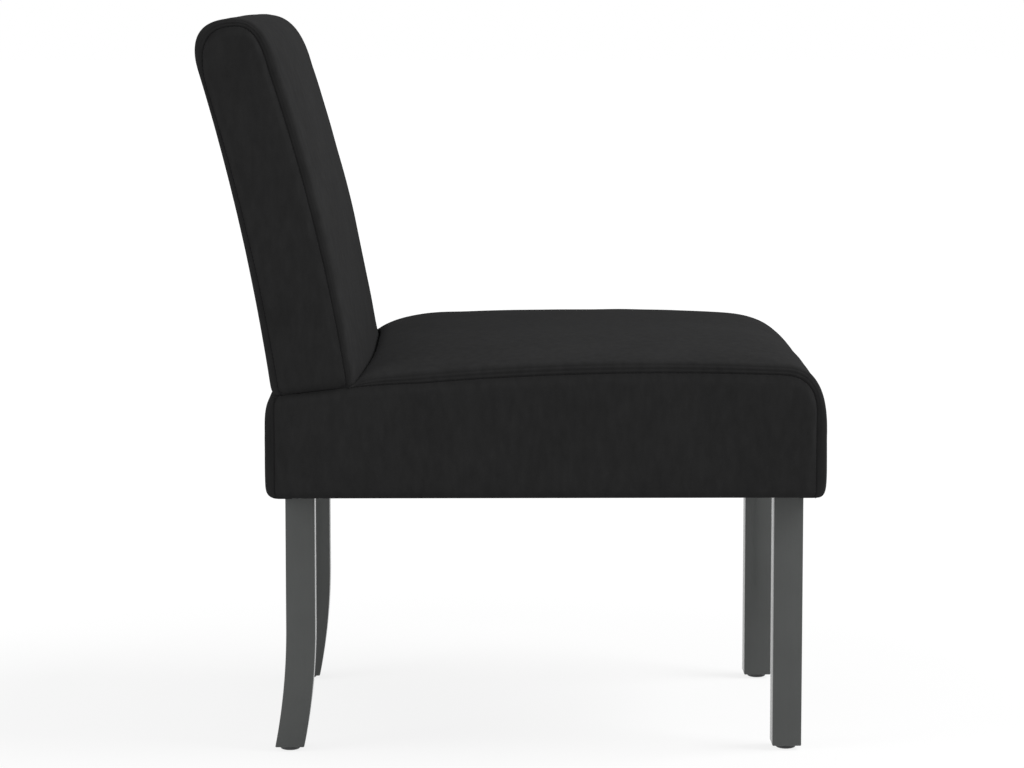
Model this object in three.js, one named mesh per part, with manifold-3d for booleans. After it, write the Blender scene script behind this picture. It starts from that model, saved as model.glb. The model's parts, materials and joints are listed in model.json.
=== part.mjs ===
// Slipper chair: an armless upholstered chair on four painted wooden legs.
// Millimetres, +Z up. The sitter faces -Y, and left and right are the sitter's own, so left is +X.
// Side views are drawn with y running rearwards from the front of the seat and z up from the floor.
import * as THREE from 'three';
import { mergeVertices, toCreasedNormals } from 'three/addons/utils/BufferGeometryUtils.js';
import Module from 'manifold-3d';

const wasm = await Module();
wasm.setup();

// Driving dimensions
const chairWidth = 460;
const seatDepth = 569;
const seatUnderside = 270;
const seatSeamHeight = 397.2;
const seatCrownHeight = 427.6;
const backSeamHeight = 748.4;
const chairHeight = 760;
const legSection = 30;

// Clearance between neighbouring pieces, and how far a cutting tool runs past a face
const gap = 0.3;
const overrun = 20;

// Upholstery: the cover, its rolled edge and hem, and how far its faces swell
const cover = 1.6;
const rolledEdge = 9.7;
const hem = 18;
const sidePuff = 3.4;
const puffBorder = 8;
const frontPuff = 1.6;
const rearPuff = 1.1;
const seatRearRoll = 9;
const crownFullness = 4;
const panelInner = chairWidth / 2 - sidePuff - cover;
const bandHalf = panelInner - gap;
const padding = cover + gap;

// The line where the back stands on the seat: it falls slightly to the rear.
const jointHeight = 383.5;
const jointFall = 8;

// The back's foot, measured along the side panel, and the way it leans and bows
const backSetback = 7;
const backFootDepth = 68.5;
const backRearRoll = 7.6;
const backLean = 88;
const backRearLean = 85;
const backBow = 7;
const backRearBow = 6;
const backCrown = 26.5;
const backRearCrown = 1.4;
const backTopCrown = 2;

const backRearFoot = seatDepth - backSetback - backRearRoll;
const backFrontFoot = backRearFoot - backFootDepth;

function jointAt(y) {
  return jointHeight - (jointFall * (y - backFrontFoot)) / backFootDepth;
}

// Seat frame
const railThickness = 18;
const sideRailThickness = 22;
const railSetback = 14;
const railRearSetback = 13.5;
const railTopShare = 0.7313;
const webbing = 1.5;
// The rails stay under the side seam and the joint, whichever is lower.
const railTop = seatUnderside + (Math.min(seatSeamHeight, jointHeight) - seatUnderside) * railTopShare;
const sideRailTop = railTop + gap + webbing;
const beamDepth = 45;
const strapWidth = 60;
const strapLap = 25;
const strapShares = [0.2, 0.5, 0.8];
const longStrapX = 70;
const beamBottom = sideRailTop + gap;
const frameBottom = seatUnderside + padding;
const frontRailFront = railSetback;
const frontRailRear = frontRailFront + railThickness;
const rearRailRear = seatDepth - railRearSetback;
const rearRailFront = rearRailRear - railThickness;
const beamRear = rearRailFront - gap;
const beamFront = beamRear - beamDepth;
const frameHalf = bandHalf - gap;
const sideRailInner = frameHalf - sideRailThickness;
const foamBottom = sideRailTop + gap + webbing + gap;

// Back frame
const postFrontInset = 22;
const postRearInset = 9.5;
const postTopDrop = 22;
const backRailHeight = 40;
const boardThickness = 3;
const boardTopDrop = 58;
const backFrameTop = backSeamHeight - postTopDrop;
const boardTop = backSeamHeight - boardTopDrop;

// Legs, their fixings and glides
const legSetback = 18.8;
const legRearSetback = 17.4;
const legInset = 40;
const sabreStart = 130;
const sabreRadius = 650;
const glideHeight = 4.5;
const glideRadius = 10.5;
const glideEase = 1.5;
const glideNailRadius = 1.5;
const glideNailLength = 14;
const lining = 0.6;
const liningSetback = 12;
const legTop = seatUnderside - gap - lining - gap;
const boltRadius = 4;
const boltInLeg = 35;
const boltPoint = 4;
const boltChamfer = 0.8;
const boltProud = 4;
const dowelRadius = 4;
const dowelLength = 30;
const dowelWall = 2;
const blockHeightShare = 0.493;
const blockHeight = (railTop - frameBottom) * blockHeightShare;
const blockAcross = 62;
const blockAlong = 58;
const blockChamferShare = 0.4;
const nutBarrel = 5.2;
const nutFlange = 8;
const nutFlangeThickness = 1.6;
const nutDepth = 10;
const legCentre = chairWidth / 2 - legInset - legSection / 2;
const backBoltSetback = 11;
const backBoltSpacing = 140;
const boltHeadRadius = 6.5;
const boltHeadHeight = 5;

// Fineness of the round parts, and the outline point where a cushion's front hem ends
const boltSides = 14;
const glideSides = 20;
const creaseAngle = Math.PI / 5;
const hemEnd = 1;

// Steps in a cushion's outline: round its broad corners, its smaller ones, and along its bowed sides
const broadSteps = 6;
const creviceSteps = 4;
const tightSteps = 3;
const hemSteps = 2;
const bowSteps = 5;

const materials = {
  velvet: { color: '#2b2b2c', roughness: 0.95, metalness: 0 },
  paintedWood: { color: '#4f5150', roughness: 0.45, metalness: 0 },
  frameWood: { color: '#c9a877', roughness: 0.8, metalness: 0 },
  board: { color: '#a58a63', roughness: 0.9, metalness: 0 },
  foam: { color: '#e6dcc0', roughness: 1, metalness: 0 },
  webbing: { color: '#6b5f4d', roughness: 0.9, metalness: 0 },
  lining: { color: '#1d1d1e', roughness: 1, metalness: 0 },
  zinc: { color: '#b9bcc0', roughness: 0.35, metalness: 1 },
  plastic: { color: '#3a3c3d', roughness: 0.4, metalness: 0 },
};

const chair = new THREE.Group();

function addPiece(name, geometry, material) {
  const mesh = new THREE.Mesh(geometry, new THREE.MeshStandardMaterial(materials[material]));
  mesh.name = name;
  chair.add(mesh);
}

const sides = [
  { side: 'right', sign: -1 },
  { side: 'left', sign: 1 },
];

// Shape helpers

// An open run of side-view points through corners. The bend at a corner starts `before` it and ends
// `after` it, and the side that leads to a corner may bow outwards, to the left of the run. `reached`
// gives the last point of each corner that has a name.
function trace(corners) {
  const at = corners.map((corner) => new THREE.Vector2(corner.y, corner.z));
  const towards = (i, j, length) => at[j].clone().sub(at[i]).setLength(length).add(at[i]);
  const points = [at[0]];
  const reached = {};
  for (let i = 1; i < corners.length; i++) {
    const { name, before = 0, after = 0, bend = 0, bow = 0, steps = 1 } = corners[i];
    const start = points[points.length - 1];
    const end = before ? towards(i, i - 1, before) : at[i];
    const along = end.clone().sub(start);
    const outward = new THREE.Vector2(-along.y, along.x).setLength(2 * bow);
    const middle = start.clone().lerp(end, 0.5).add(outward);
    points.push(...new THREE.QuadraticBezierCurve(start, middle, end).getPoints(steps).slice(1));
    if (bend) {
      const turn = new THREE.QuadraticBezierCurve(end, at[i], towards(i, i + 1, after));
      points.push(...turn.getPoints(bend).slice(1));
    }
    if (name) reached[name] = points.length - 1;
  }
  return { points, reached };
}

// The run moved to its right by a distance, square to its sides.
function inset(points, distance, closed = false) {
  const count = points.length;
  const rightOf = (a, b) => new THREE.Vector2(b.y - a.y, a.x - b.x).normalize();
  return points.map((point, i) => {
    const last = points[(i + count - 1) % count];
    const next = points[(i + 1) % count];
    const inwards = i > 0 || closed ? rightOf(last, point) : rightOf(point, next);
    const onwards = i < count - 1 || closed ? rightOf(point, next) : inwards;
    const mitre = distance / (1 + inwards.dot(onwards));
    return inwards.clone().add(onwards).multiplyScalar(mitre).add(point);
  });
}

// One closed body through equal loops of side-view points, each at its own place across the chair.
// From the point `backFrom` on, a loop runs back under itself, and its faces split the other way, so
// that the two sides of a skin, and the foam under it, stay parallel.
function loft(loops, places, backFrom = Infinity) {
  const count = loops[0].length;
  const last = loops.length - 1;
  const positions = loops.flatMap((loop, i) => loop.flatMap((p) => [places[i], p.x, p.y]));
  const leftwards = places[last] > places[0];
  const anticlockwise = THREE.ShapeUtils.area(loops[0]) > 0;
  const index = [];
  const face = (direct, a, b, c) => (direct ? index.push(a, b, c) : index.push(a, c, b));
  for (let ring = 0; ring < last; ring++) {
    for (let i = 0; i < count; i++) {
      const a = ring * count + i;
      const b = ring * count + ((i + 1) % count);
      const split = i < backFrom ? [[a, b, b + count], [a, b + count, a + count]]
        : [[a, b, a + count], [b, b + count, a + count]];
      split.forEach((corners) => face(leftwards === anticlockwise, ...corners));
    }
  }
  for (const ring of [0, last]) {
    for (const corners of THREE.ShapeUtils.triangulateShape([...loops[ring]], [])) {
      face((ring > 0) === leftwards, ...corners.map((corner) => ring * count + corner));
    }
  }
  const geometry = new THREE.BufferGeometry();
  geometry.setAttribute('position', new THREE.Float32BufferAttribute(positions, 3));
  geometry.setIndex(index);
  return toCreasedNormals(geometry, creaseAngle);
}

// A side-view outline given thickness across the chair.
function prism(outline, from, to) {
  return loft([outline, outline], [from, to]);
}

function point(y, z) {
  return new THREE.Vector2(y, z);
}

function block(width, depth, height, x, y, z) {
  return new THREE.BoxGeometry(width, depth, height).translate(x, y + depth / 2, z + height / 2);
}

// A body turned about an upright axis, from an outline of [radius, height] pairs.
function turned(outline, count, x, y) {
  const profile = outline.map(([radius, height]) => new THREE.Vector2(radius, height));
  return new THREE.LatheGeometry(profile, count).rotateX(Math.PI / 2).translate(x, y, 0);
}

// An upright bore between two heights
function bore(radius, x, y, from, to) {
  return turned([[0, from], [radius, from], [radius, to], [0, to]], boltSides, x, y);
}

function solidOf(geometry) {
  const bare = geometry.clone();
  bare.deleteAttribute('normal');
  bare.deleteAttribute('uv');
  const merged = mergeVertices(bare);
  return new wasm.Manifold(
    new wasm.Mesh({
      numProp: 3,
      vertProperties: new Float32Array(merged.attributes.position.array),
      triVerts: new Uint32Array(merged.index.array),
    }),
  );
}

function geometryOf(solid) {
  const mesh = solid.getMesh();
  const geometry = new THREE.BufferGeometry();
  geometry.setAttribute('position', new THREE.BufferAttribute(mesh.vertProperties, 3));
  geometry.setIndex(new THREE.BufferAttribute(mesh.triVerts, 1));
  return toCreasedNormals(geometry, creaseAngle);
}

function cut(body, tools) {
  return geometryOf(tools.reduce((left, tool) => left.subtract(solidOf(tool)), solidOf(body)));
}

function join(body, other) {
  return geometryOf(solidOf(body).add(solidOf(other)));
}

// Cushion forms. Each cushion is drawn three times in side view with like points: along its side seam,
// along the top of its rolled edge, and down its middle. The surface between runs from one to the next.

const creviceRoll = backFrontFoot - rolledEdge - cover;

const seatForms = {
  seam: {
    front: rolledEdge, top: seatSeamHeight, bow: 5.5, drop: 38, run: 38,
    crevice: creviceRoll, slope: 34, slopeTop: 4.2, slopeRun: 30, slopeDrop: 20,
    rear: seatDepth - seatRearRoll,
    hemBend: 3, frontBend: 4, rearBend: 3, rearDrop: 4, footBend: 3,
  },
  roll: {
    front: -frontPuff, top: seatSeamHeight + rolledEdge, bow: 8, drop: 60, run: 45,
    crevice: creviceRoll, slope: 0, slopeTop: 12, slopeRun: 30, slopeDrop: 10,
    rear: seatDepth + rearPuff,
    hemBend: 8, frontBend: 16, rearBend: 9, rearDrop: 28, footBend: 12,
  },
  crown: {
    front: -2 * frontPuff, top: seatCrownHeight, bow: 1, drop: 72, run: 92,
    crevice: backFrontFoot - backCrown - cover, slope: 0, slopeTop: 42, slopeRun: 122, slopeDrop: 34,
    rear: seatDepth + 2 * rearPuff,
    hemBend: 8, frontBend: 16, rearBend: 9, rearDrop: 28, footBend: 12,
  },
};

// From the hem under the front rail, up the front, over the top, under the back and down the rear
function seatProfile(form) {
  const underBack = jointAt(form.crevice);
  return trace([
    { y: form.front + hem, z: seatUnderside },
    { y: form.front, z: seatUnderside, before: form.hemBend, after: form.frontBend, bend: hemSteps },
    { y: form.front, z: form.top, before: form.drop, after: form.run, bend: broadSteps },
    {
      y: form.crevice - form.slope, z: underBack + form.slopeTop, bow: form.bow, steps: bowSteps,
      before: form.slopeRun, after: form.slopeDrop, bend: creviceSteps,
    },
    { name: 'crevice', y: form.crevice, z: underBack },
    {
      y: form.rear, z: jointAt(form.rear),
      before: form.rearBend, after: form.rearDrop, bend: tightSteps,
    },
    {
      name: 'rearFoot', y: form.rear, z: seatUnderside,
      before: form.footBend, after: form.footBend, bend: hemSteps,
    },
    { y: form.rear - hem, z: seatUnderside },
  ]);
}

const backForms = {
  seam: {
    frontFoot: backFrontFoot, top: backSeamHeight, tilt: 0, frontLeg: 45, topLeg: 20,
    rearFoot: backRearFoot, rearTopLeg: 43, rearLeg: 60, footBend: 4,
  },
  roll: {
    frontFoot: backFrontFoot - rolledEdge, top: chairHeight - backTopCrown, tilt: 3,
    frontLeg: 52, topLeg: 26,
    rearFoot: backRearFoot + backRearRoll, rearTopLeg: 56, rearLeg: 58, footBend: 8,
  },
  crown: {
    frontFoot: backFrontFoot - backCrown, top: chairHeight, tilt: 3.6, frontLeg: 56, topLeg: 34,
    rearFoot: backRearFoot + backRearRoll + backRearCrown, rearTopLeg: 66, rearLeg: 60, footBend: 12,
  },
};

// How much of its height to the side seam's top the back has reached at a height
function riseAt(z) {
  return (z - jointHeight) / (backSeamHeight - jointHeight);
}

// How far a line up the back has run rearwards at a height: it leans, and it bows to the front.
function runAt(lean, bow, z) {
  return lean * riseAt(z) - 4 * bow * riseAt(z) * (1 - riseAt(z));
}

// The top corners of a form, each at the end of a bowed side. The fuller forms tilt a little forward.
function backTopCorners(form) {
  const bowShare = riseAt(form.top) ** 2;
  return {
    frontTop: {
      y: form.frontFoot + runAt(backLean, backBow, form.top) - form.tilt, z: form.top,
      bow: backBow * bowShare, steps: bowSteps, before: form.frontLeg, after: form.topLeg, bend: broadSteps,
    },
    rearTop: {
      y: form.rearFoot + runAt(backRearLean, backRearBow, form.top) - form.tilt, z: form.top,
      before: form.rearTopLeg, after: form.rearLeg, bend: broadSteps,
    },
    rearFoot: {
      name: 'rearFoot', y: form.rearFoot, z: backUnderside(form.rearFoot),
      bow: -backRearBow * bowShare, steps: bowSteps,
    },
  };
}

// The joint's height under the back, whose cover stands clear of the seat's
function backUnderside(y) {
  return jointAt(y) + gap;
}

// From the hem under the bottom rail, up the front, over the top and down the rear
function backProfile(form) {
  const { frontTop, rearTop, rearFoot } = backTopCorners(form);
  return trace([
    { y: form.frontFoot + hem, z: backUnderside(form.frontFoot + hem) },
    {
      y: form.frontFoot, z: backUnderside(form.frontFoot),
      before: form.footBend, after: form.footBend, bend: tightSteps,
    },
    frontTop,
    rearTop,
    { ...rearFoot, before: form.footBend, after: form.footBend, bend: hemSteps },
    { y: form.rearFoot - hem, z: backUnderside(form.rearFoot - hem) },
  ]);
}

// Places across the chair where a cushion's surface is drawn, close together over the rolled edge
const rollShares = [0, 0.12, 0.4, 1];
const crownShares = [0.84, 0.6, 0.3, 0];
const halfPlaces = [
  ...rollShares.map((share) => bandHalf - rolledEdge * share),
  ...crownShares.map((share) => (bandHalf - rolledEdge) * share),
];
const places = [...halfPlaces.map((x) => -x), ...halfPlaces.slice(0, -1).reverse()];

function drawForms(profile, forms) {
  const { points: seam, reached } = profile(forms.seam);
  return { seam, reached, roll: profile(forms.roll).points, crown: profile(forms.crown).points };
}

const seat = drawForms(seatProfile, seatForms);
const back = drawForms(backProfile, backForms);

// The cushion's side view at one place across, at a depth below its surface.
function surfaceAt(cushion, x, depth) {
  const inwards = (bandHalf - depth - Math.abs(x)) / rolledEdge;
  const rolled = Math.sqrt(1 - (1 - THREE.MathUtils.clamp(inwards, 0, 1)) ** 2);
  const outwards = Math.min(1, Math.abs(x) / (bandHalf - rolledEdge));
  const crowned = 1 - outwards ** crownFullness;
  const points = cushion.seam.map((seam, i) => {
    const roll = cushion.roll[i];
    const rise = cushion.crown[i].clone().sub(roll).multiplyScalar(crowned);
    return seam.clone().lerp(roll, rolled).add(rise);
  });
  return inset(points, depth);
}

function band(cushion) {
  const loops = places.map((x) => [
    ...surfaceAt(cushion, x, 0),
    ...surfaceAt(cushion, x, cover).reverse(),
  ]);
  return loft(loops, places, cushion.seam.length);
}

// Foam between the band and what it is glued to, from one surface point to another: `inner` is its
// inner outline, drawn backwards.
function fill(cushion, from, to, inner) {
  const loops = places.map((x) => [...surfaceAt(cushion, x, padding).slice(from, to + 1), ...inner]);
  return loft(loops, places);
}

// A padded side panel with the flap that is turned in under it. It swells from its seamed edge.
const puffInsetShares = [0, 0.375, 1];
const puffRiseShares = [0, 0.62, 1];

function sidePanel(outline, flap, sign) {
  const rings = puffInsetShares.map((share) => inset(outline, puffBorder * share, true));
  const rises = puffRiseShares.map((share) => panelInner + cover + sidePuff * share);
  const panel = loft([outline, ...rings], [panelInner, ...rises].map((x) => sign * x));
  const turnedIn = prism(flap, sign * (panelInner - hem), sign * (panelInner + cover / 2));
  return join(panel, turnedIn);
}

function flapOutline(from, to, bottomAt) {
  return [
    point(from, bottomAt(from)), point(to, bottomAt(to)),
    point(to, bottomAt(to) + cover), point(from, bottomAt(from) + cover),
  ];
}

// Seat frame

const boltPlaces = [-backBoltSpacing, 0, backBoltSpacing];
const backBoltY = beamRear - backBoltSetback;

// At each end a leg's bolt stands just inside the rail, and its dowel goes up into the rail.
const ends = [
  { end: 'front', towards: 1, railFace: frontRailRear, legFront: legSetback },
  {
    end: 'rear', towards: -1, railFace: rearRailFront,
    legFront: seatDepth - legRearSetback - legSection,
  },
].map((end) => ({
  ...end,
  boltY: end.railFace + end.towards * (nutFlange + 2 * gap),
  dowelY: end.railFace - end.towards * (dowelRadius + gap + dowelWall),
}));

function dowelBores({ dowelY }) {
  return sides.map(({ sign }) => bore(
    dowelRadius + gap, sign * legCentre, dowelY, frameBottom - dowelLength, legTop + dowelLength / 2 + gap,
  ));
}

function backBoltBores(radius) {
  return boltPlaces.map((x) => (
    bore(radius, x, backBoltY, beamBottom - overrun, bottomRailTop + overrun)
  ));
}

function addSeatFrame() {
  const [front, rear] = ends;
  const railHeight = railTop - frameBottom;
  const frontRail = block(2 * frameHalf, railThickness, railHeight, 0, frontRailFront, frameBottom);
  addPiece('seat_front_rail', cut(frontRail, dowelBores(front)), 'frameWood');

  const rearRail = prism([
    point(rearRailFront, frameBottom), point(rearRailRear, frameBottom),
    point(rearRailRear, jointAt(rearRailRear) - padding),
    point(rearRailFront, jointAt(rearRailFront) - padding),
  ], -frameHalf, frameHalf);
  addPiece('seat_rear_rail', cut(rearRail, dowelBores(rear)), 'frameWood');

  const beam = prism([
    point(beamFront, beamBottom), point(beamRear, beamBottom),
    point(beamRear, jointAt(beamRear) - padding), point(beamFront, jointAt(beamFront) - padding),
  ], -frameHalf, frameHalf);
  addPiece('back_beam', cut(beam, backBoltBores(boltRadius + gap)), 'frameWood');

  const sideRailFront = frontRailRear + gap;
  const sideRailLength = rearRailFront - gap - sideRailFront;
  for (const { side, sign } of sides) {
    const rail = block(
      sideRailThickness, sideRailLength, sideRailTop - frameBottom,
      sign * (frameHalf - sideRailThickness / 2), sideRailFront, frameBottom,
    );
    addPiece(`seat_${side}_rail`, rail, 'frameWood');
  }
}

// Glued blocks in the frame's corners, each bored for the tee nut that holds a leg
function addCornerBlocks() {
  for (const { side, sign } of sides) {
    for (const { end, towards, railFace, boltY } of ends) {
      const cornerX = sideRailInner - gap;
      const cornerY = railFace + towards * gap;
      const corner = (across, along) =>
        new THREE.Vector2(sign * (cornerX - across), cornerY + towards * along);
      const plan = new THREE.Shape([
        corner(0, 0), corner(blockAcross, 0), corner(blockAcross, blockAlong * blockChamferShare),
        corner(blockAcross * blockChamferShare, blockAlong), corner(0, blockAlong),
      ]);
      const hole = new THREE.Path().absarc(sign * legCentre, boltY, nutBarrel + gap, 0, 2 * Math.PI);
      plan.holes.push(hole);
      const body = new THREE.ExtrudeGeometry(plan, {
        depth: blockHeight, bevelEnabled: false, curveSegments: boltSides,
      });
      addPiece(`corner_block_${end}_${side}`, body.translate(0, 0, frameBottom), 'frameWood');
    }
  }
}

function addSeatWebbing() {
  const spanFront = frontRailRear;
  strapShares.forEach((share, i) => {
    const y = spanFront + (beamFront - spanFront) * share - strapWidth / 2;
    const strap = block(2 * frameHalf, strapWidth, webbing, 0, y, sideRailTop + gap);
    addPiece(`seat_cross_strap_${i + 1}`, strap, 'webbing');
  });
  const lengthways = beamFront + strapLap - frontRailFront;
  for (const { side, sign } of sides) {
    const strap = block(strapWidth, lengthways, webbing, sign * longStrapX, frontRailFront, railTop + gap);
    addPiece(`seat_long_strap_${side}`, strap, 'webbing');
  }
}

// Seat upholstery

function addSeatCushion() {
  const foamRear = beamFront - gap;
  const foamFront = frontRailFront - gap;
  const foam = fill(seat, hemEnd, seat.reached.crevice, [
    point(foamRear, jointAt(foamRear) - padding), point(foamRear, foamBottom),
    point(foamFront, foamBottom), point(foamFront, frameBottom),
  ]);
  addPiece('seat_foam', foam, 'foam');

  const padFront = rearRailRear + gap;
  const pad = fill(seat, seat.reached.crevice + 1, seat.reached.rearFoot, [
    point(padFront, frameBottom), point(padFront, jointAt(padFront) - padding),
  ]);
  addPiece('seat_rear_padding', pad, 'foam');

  addPiece('seat_cover', cut(band(seat), backBoltBores(boltRadius + gap)), 'velvet');

  const { seam } = seatForms;
  const outline = trace([
    { y: seam.front, z: seatUnderside },
    { y: seam.front, z: seam.top, before: seam.drop, after: seam.run, bend: broadSteps },
    {
      y: seam.crevice - seam.slope, z: jointAt(seam.crevice) + seam.slopeTop, bow: seam.bow,
      steps: bowSteps, before: seam.slopeRun, after: seam.slopeDrop, bend: creviceSteps,
    },
    { y: seam.crevice, z: jointAt(seam.crevice) },
    { y: seam.rear, z: jointAt(seam.rear) },
    { y: seam.rear, z: seatUnderside },
  ]).points;
  const flap = flapOutline(seam.front + hem + gap, seam.rear - hem - gap, () => seatUnderside);
  for (const { side, sign } of sides) {
    addPiece(`seat_side_panel_${side}`, sidePanel(outline, flap, sign), 'velvet');
  }
}

function addLining() {
  const bottom = seatUnderside - gap - lining;
  const depth = seatDepth - 2 * liningSetback;
  const sheet = block(2 * (bandHalf - liningSetback), depth, lining, 0, liningSetback, bottom);
  const bores = sides.flatMap(({ sign }) => ends.flatMap(({ boltY, dowelY }) => [
    bore(boltRadius + gap, sign * legCentre, boltY, bottom - overrun, bottom + overrun),
    bore(dowelRadius + gap, sign * legCentre, dowelY, bottom - overrun, bottom + overrun),
  ]));
  addPiece('dust_cover', cut(sheet, bores), 'lining');
}

// The back

// The back's inner layers run along its side seams: y at a height on a line set in from a seam
const frontLine = (depth) => (z) => backFrontFoot + runAt(backLean, backBow, z) + depth;
const rearLine = (depth) => (z) => backRearFoot + runAt(backRearLean, backRearBow, z) - depth;
const heightShares = [0, 0.125, 0.25, 0.375, 0.5, 0.625, 0.75, 0.875, 1];

function footOf(line) {
  return jointAt(line(jointHeight)) + gap + padding;
}

function runUp(line, from, to) {
  return heightShares.map((share) => {
    const z = from + (to - from) * share;
    return point(line(z), z);
  });
}

function layer(front, rear, top) {
  return [...runUp(front, footOf(front), top), ...runUp(rear, footOf(rear), top).reverse()];
}

const postFront = frontLine(postFrontInset);
const postRear = rearLine(postRearInset);
const boardFront = rearLine(postRearInset - gap);
const boardRear = rearLine(postRearInset - gap - boardThickness);
const foamOnBoard = rearLine(postRearInset - gap - boardThickness - gap);
const strapFront = frontLine(postFrontInset - gap - webbing);
const strapRear = frontLine(postFrontInset - gap);
const foamOnStraps = frontLine(postFrontInset - gap - webbing - gap);
const bottomRailTop = footOf(postFront) + backRailHeight;

function addBackFrame() {
  const post = layer(postFront, postRear, backFrameTop);
  for (const { side, sign } of sides) {
    addPiece(`back_post_${side}`, prism(post, sign * sideRailInner, sign * frameHalf), 'frameWood');
  }
  const railEnd = sideRailInner - gap;
  const bottomRail = prism(layer(postFront, postRear, bottomRailTop), -railEnd, railEnd);
  addPiece('back_bottom_rail', cut(bottomRail, backBoltBores(nutBarrel + gap)), 'frameWood');
  const topRail = [
    ...runUp(postFront, backFrameTop - backRailHeight, backFrameTop),
    ...runUp(postRear, backFrameTop - backRailHeight, backFrameTop).reverse(),
  ];
  addPiece('back_top_rail', prism(topRail, -railEnd, railEnd), 'frameWood');
  addPiece('back_board', prism(layer(boardFront, boardRear, boardTop), -frameHalf, frameHalf), 'board');

  const strapsFrom = bottomRailTop;
  const strapsTo = backFrameTop - backRailHeight;
  strapShares.forEach((share, i) => {
    const middle = strapsFrom + (strapsTo - strapsFrom) * share;
    const [low, high] = [middle - strapWidth / 2, middle + strapWidth / 2];
    const strap = [
      point(strapFront(low), low), point(strapRear(low), low),
      point(strapRear(high), high), point(strapFront(high), high),
    ];
    addPiece(`back_strap_${i + 1}`, prism(strap, -frameHalf, frameHalf), 'webbing');
  });
}

function addBackCushion() {
  const overFrame = backFrameTop + gap;
  const foam = fill(back, hemEnd, back.reached.rearFoot, [
    ...runUp(foamOnBoard, footOf(foamOnBoard), boardTop + gap),
    point(postRear(overFrame) + gap, overFrame), point(foamOnStraps(overFrame), overFrame),
    ...runUp(foamOnStraps, footOf(foamOnStraps), overFrame).slice(0, -1).reverse(),
  ]);
  addPiece('back_foam', foam, 'foam');
  addPiece('back_cover', band(back), 'velvet');

  const { seam } = backForms;
  const { frontTop, rearTop, rearFoot } = backTopCorners(seam);
  const outline = trace([
    { y: seam.frontFoot, z: backUnderside(seam.frontFoot) }, frontTop, rearTop, rearFoot,
  ]).points;
  const flap = flapOutline(seam.frontFoot + hem + gap, seam.rearFoot - hem - gap, backUnderside);
  for (const { side, sign } of sides) {
    addPiece(`back_side_panel_${side}`, sidePanel(outline, flap, sign), 'velvet');
  }
}

// Fixings

function teeNut(x, y, face) {
  return turned([
    [boltRadius + gap, face - nutDepth], [nutBarrel, face - nutDepth], [nutBarrel, face + gap],
    [nutFlange, face + gap], [nutFlange, face + gap + nutFlangeThickness],
    [boltRadius + gap, face + gap + nutFlangeThickness], [boltRadius + gap, face - nutDepth],
  ], boltSides, x, y);
}

function shank(x, y, from, to, point, chamfer) {
  return turned([
    [0, from], [boltRadius, from + point], [boltRadius, to - chamfer], [boltRadius - chamfer, to], [0, to],
  ], boltSides, x, y);
}

function addBackBolts() {
  const headTop = beamBottom - gap;
  const shankTop = bottomRailTop + gap + nutFlangeThickness + boltProud;
  boltPlaces.forEach((x, i) => {
    const bolt = turned([
      [0, headTop - boltHeadHeight], [boltHeadRadius, headTop - boltHeadHeight],
      [boltHeadRadius, headTop], [boltRadius, headTop],
      [boltRadius, shankTop - boltChamfer], [boltRadius - boltChamfer, shankTop], [0, shankTop],
    ], boltSides, x, backBoltY);
    addPiece(`back_bolt_${i + 1}`, bolt, 'zinc');
    addPiece(`back_nut_${i + 1}`, teeNut(x, backBoltY, bottomRailTop), 'zinc');
  });
}

// Legs

// How far a rear leg has swept back at a height.
function sweep(z) {
  const below = Math.max(0, sabreStart - z);
  return sabreRadius - Math.sqrt(sabreRadius ** 2 - below ** 2);
}

const sabreShares = [0, 0.15, 0.32, 0.5, 0.7, 1];

function legOutline(end, legFront) {
  if (end === 'front') {
    const legRear = legFront + legSection;
    return [
      point(legFront, glideHeight), point(legRear, glideHeight),
      point(legRear, legTop), point(legFront, legTop),
    ];
  }
  const curve = sabreShares.map((share) => {
    const z = glideHeight + (sabreStart - glideHeight) * share;
    return point(legFront + sweep(z), z);
  });
  const frontEdge = [...curve, point(legFront, legTop)];
  const across = new THREE.Vector2(legSection, 0);
  return [...frontEdge, ...frontEdge.map((p) => p.clone().add(across)).reverse()];
}

function addLegs() {
  const blockTop = frameBottom + blockHeight;
  const glideTop = glideHeight - gap;
  for (const { side, sign } of sides) {
    for (const { end, boltY, dowelY, legFront } of ends) {
      const x = sign * legCentre;
      const glideY = legFront + legSection / 2 + (end === 'rear' ? sweep(glideHeight) : 0);
      const outline = legOutline(end, legFront);
      const body = prism(outline, x - legSection / 2, x + legSection / 2);
      const over = legTop + overrun;
      const leg = cut(body, [
        bore(boltRadius + gap, x, boltY, legTop - boltInLeg - gap, over),
        bore(dowelRadius + gap, x, dowelY, legTop - dowelLength / 2 - gap, over),
        bore(glideNailRadius + gap, x, glideY, glideHeight - overrun, glideHeight + glideNailLength + gap),
      ]);
      addPiece(`${end}_leg_${side}`, leg, 'paintedWood');

      const boltTop = blockTop + gap + nutFlangeThickness + boltProud;
      const bolt = shank(x, boltY, legTop - boltInLeg, boltTop, boltPoint, boltChamfer);
      addPiece(`leg_bolt_${end}_${side}`, bolt, 'zinc');
      addPiece(`leg_nut_${end}_${side}`, teeNut(x, boltY, blockTop), 'zinc');

      const dowelLow = legTop - dowelLength / 2;
      const dowel = turned([
        [0, dowelLow], [dowelRadius, dowelLow], [dowelRadius, dowelLow + dowelLength],
        [0, dowelLow + dowelLength],
      ], boltSides, x, dowelY);
      addPiece(`leg_dowel_${end}_${side}`, dowel, 'frameWood');

      const glide = turned([
        [0, 0], [glideRadius - glideEase, 0], [glideRadius, glideEase], [glideRadius, glideTop],
        [glideNailRadius, glideTop], [glideNailRadius, glideHeight + glideNailLength],
        [0, glideHeight + glideNailLength],
      ], glideSides, x, glideY);
      addPiece(`glide_${end}_${side}`, glide, 'plastic');
    }
  }
}

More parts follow.
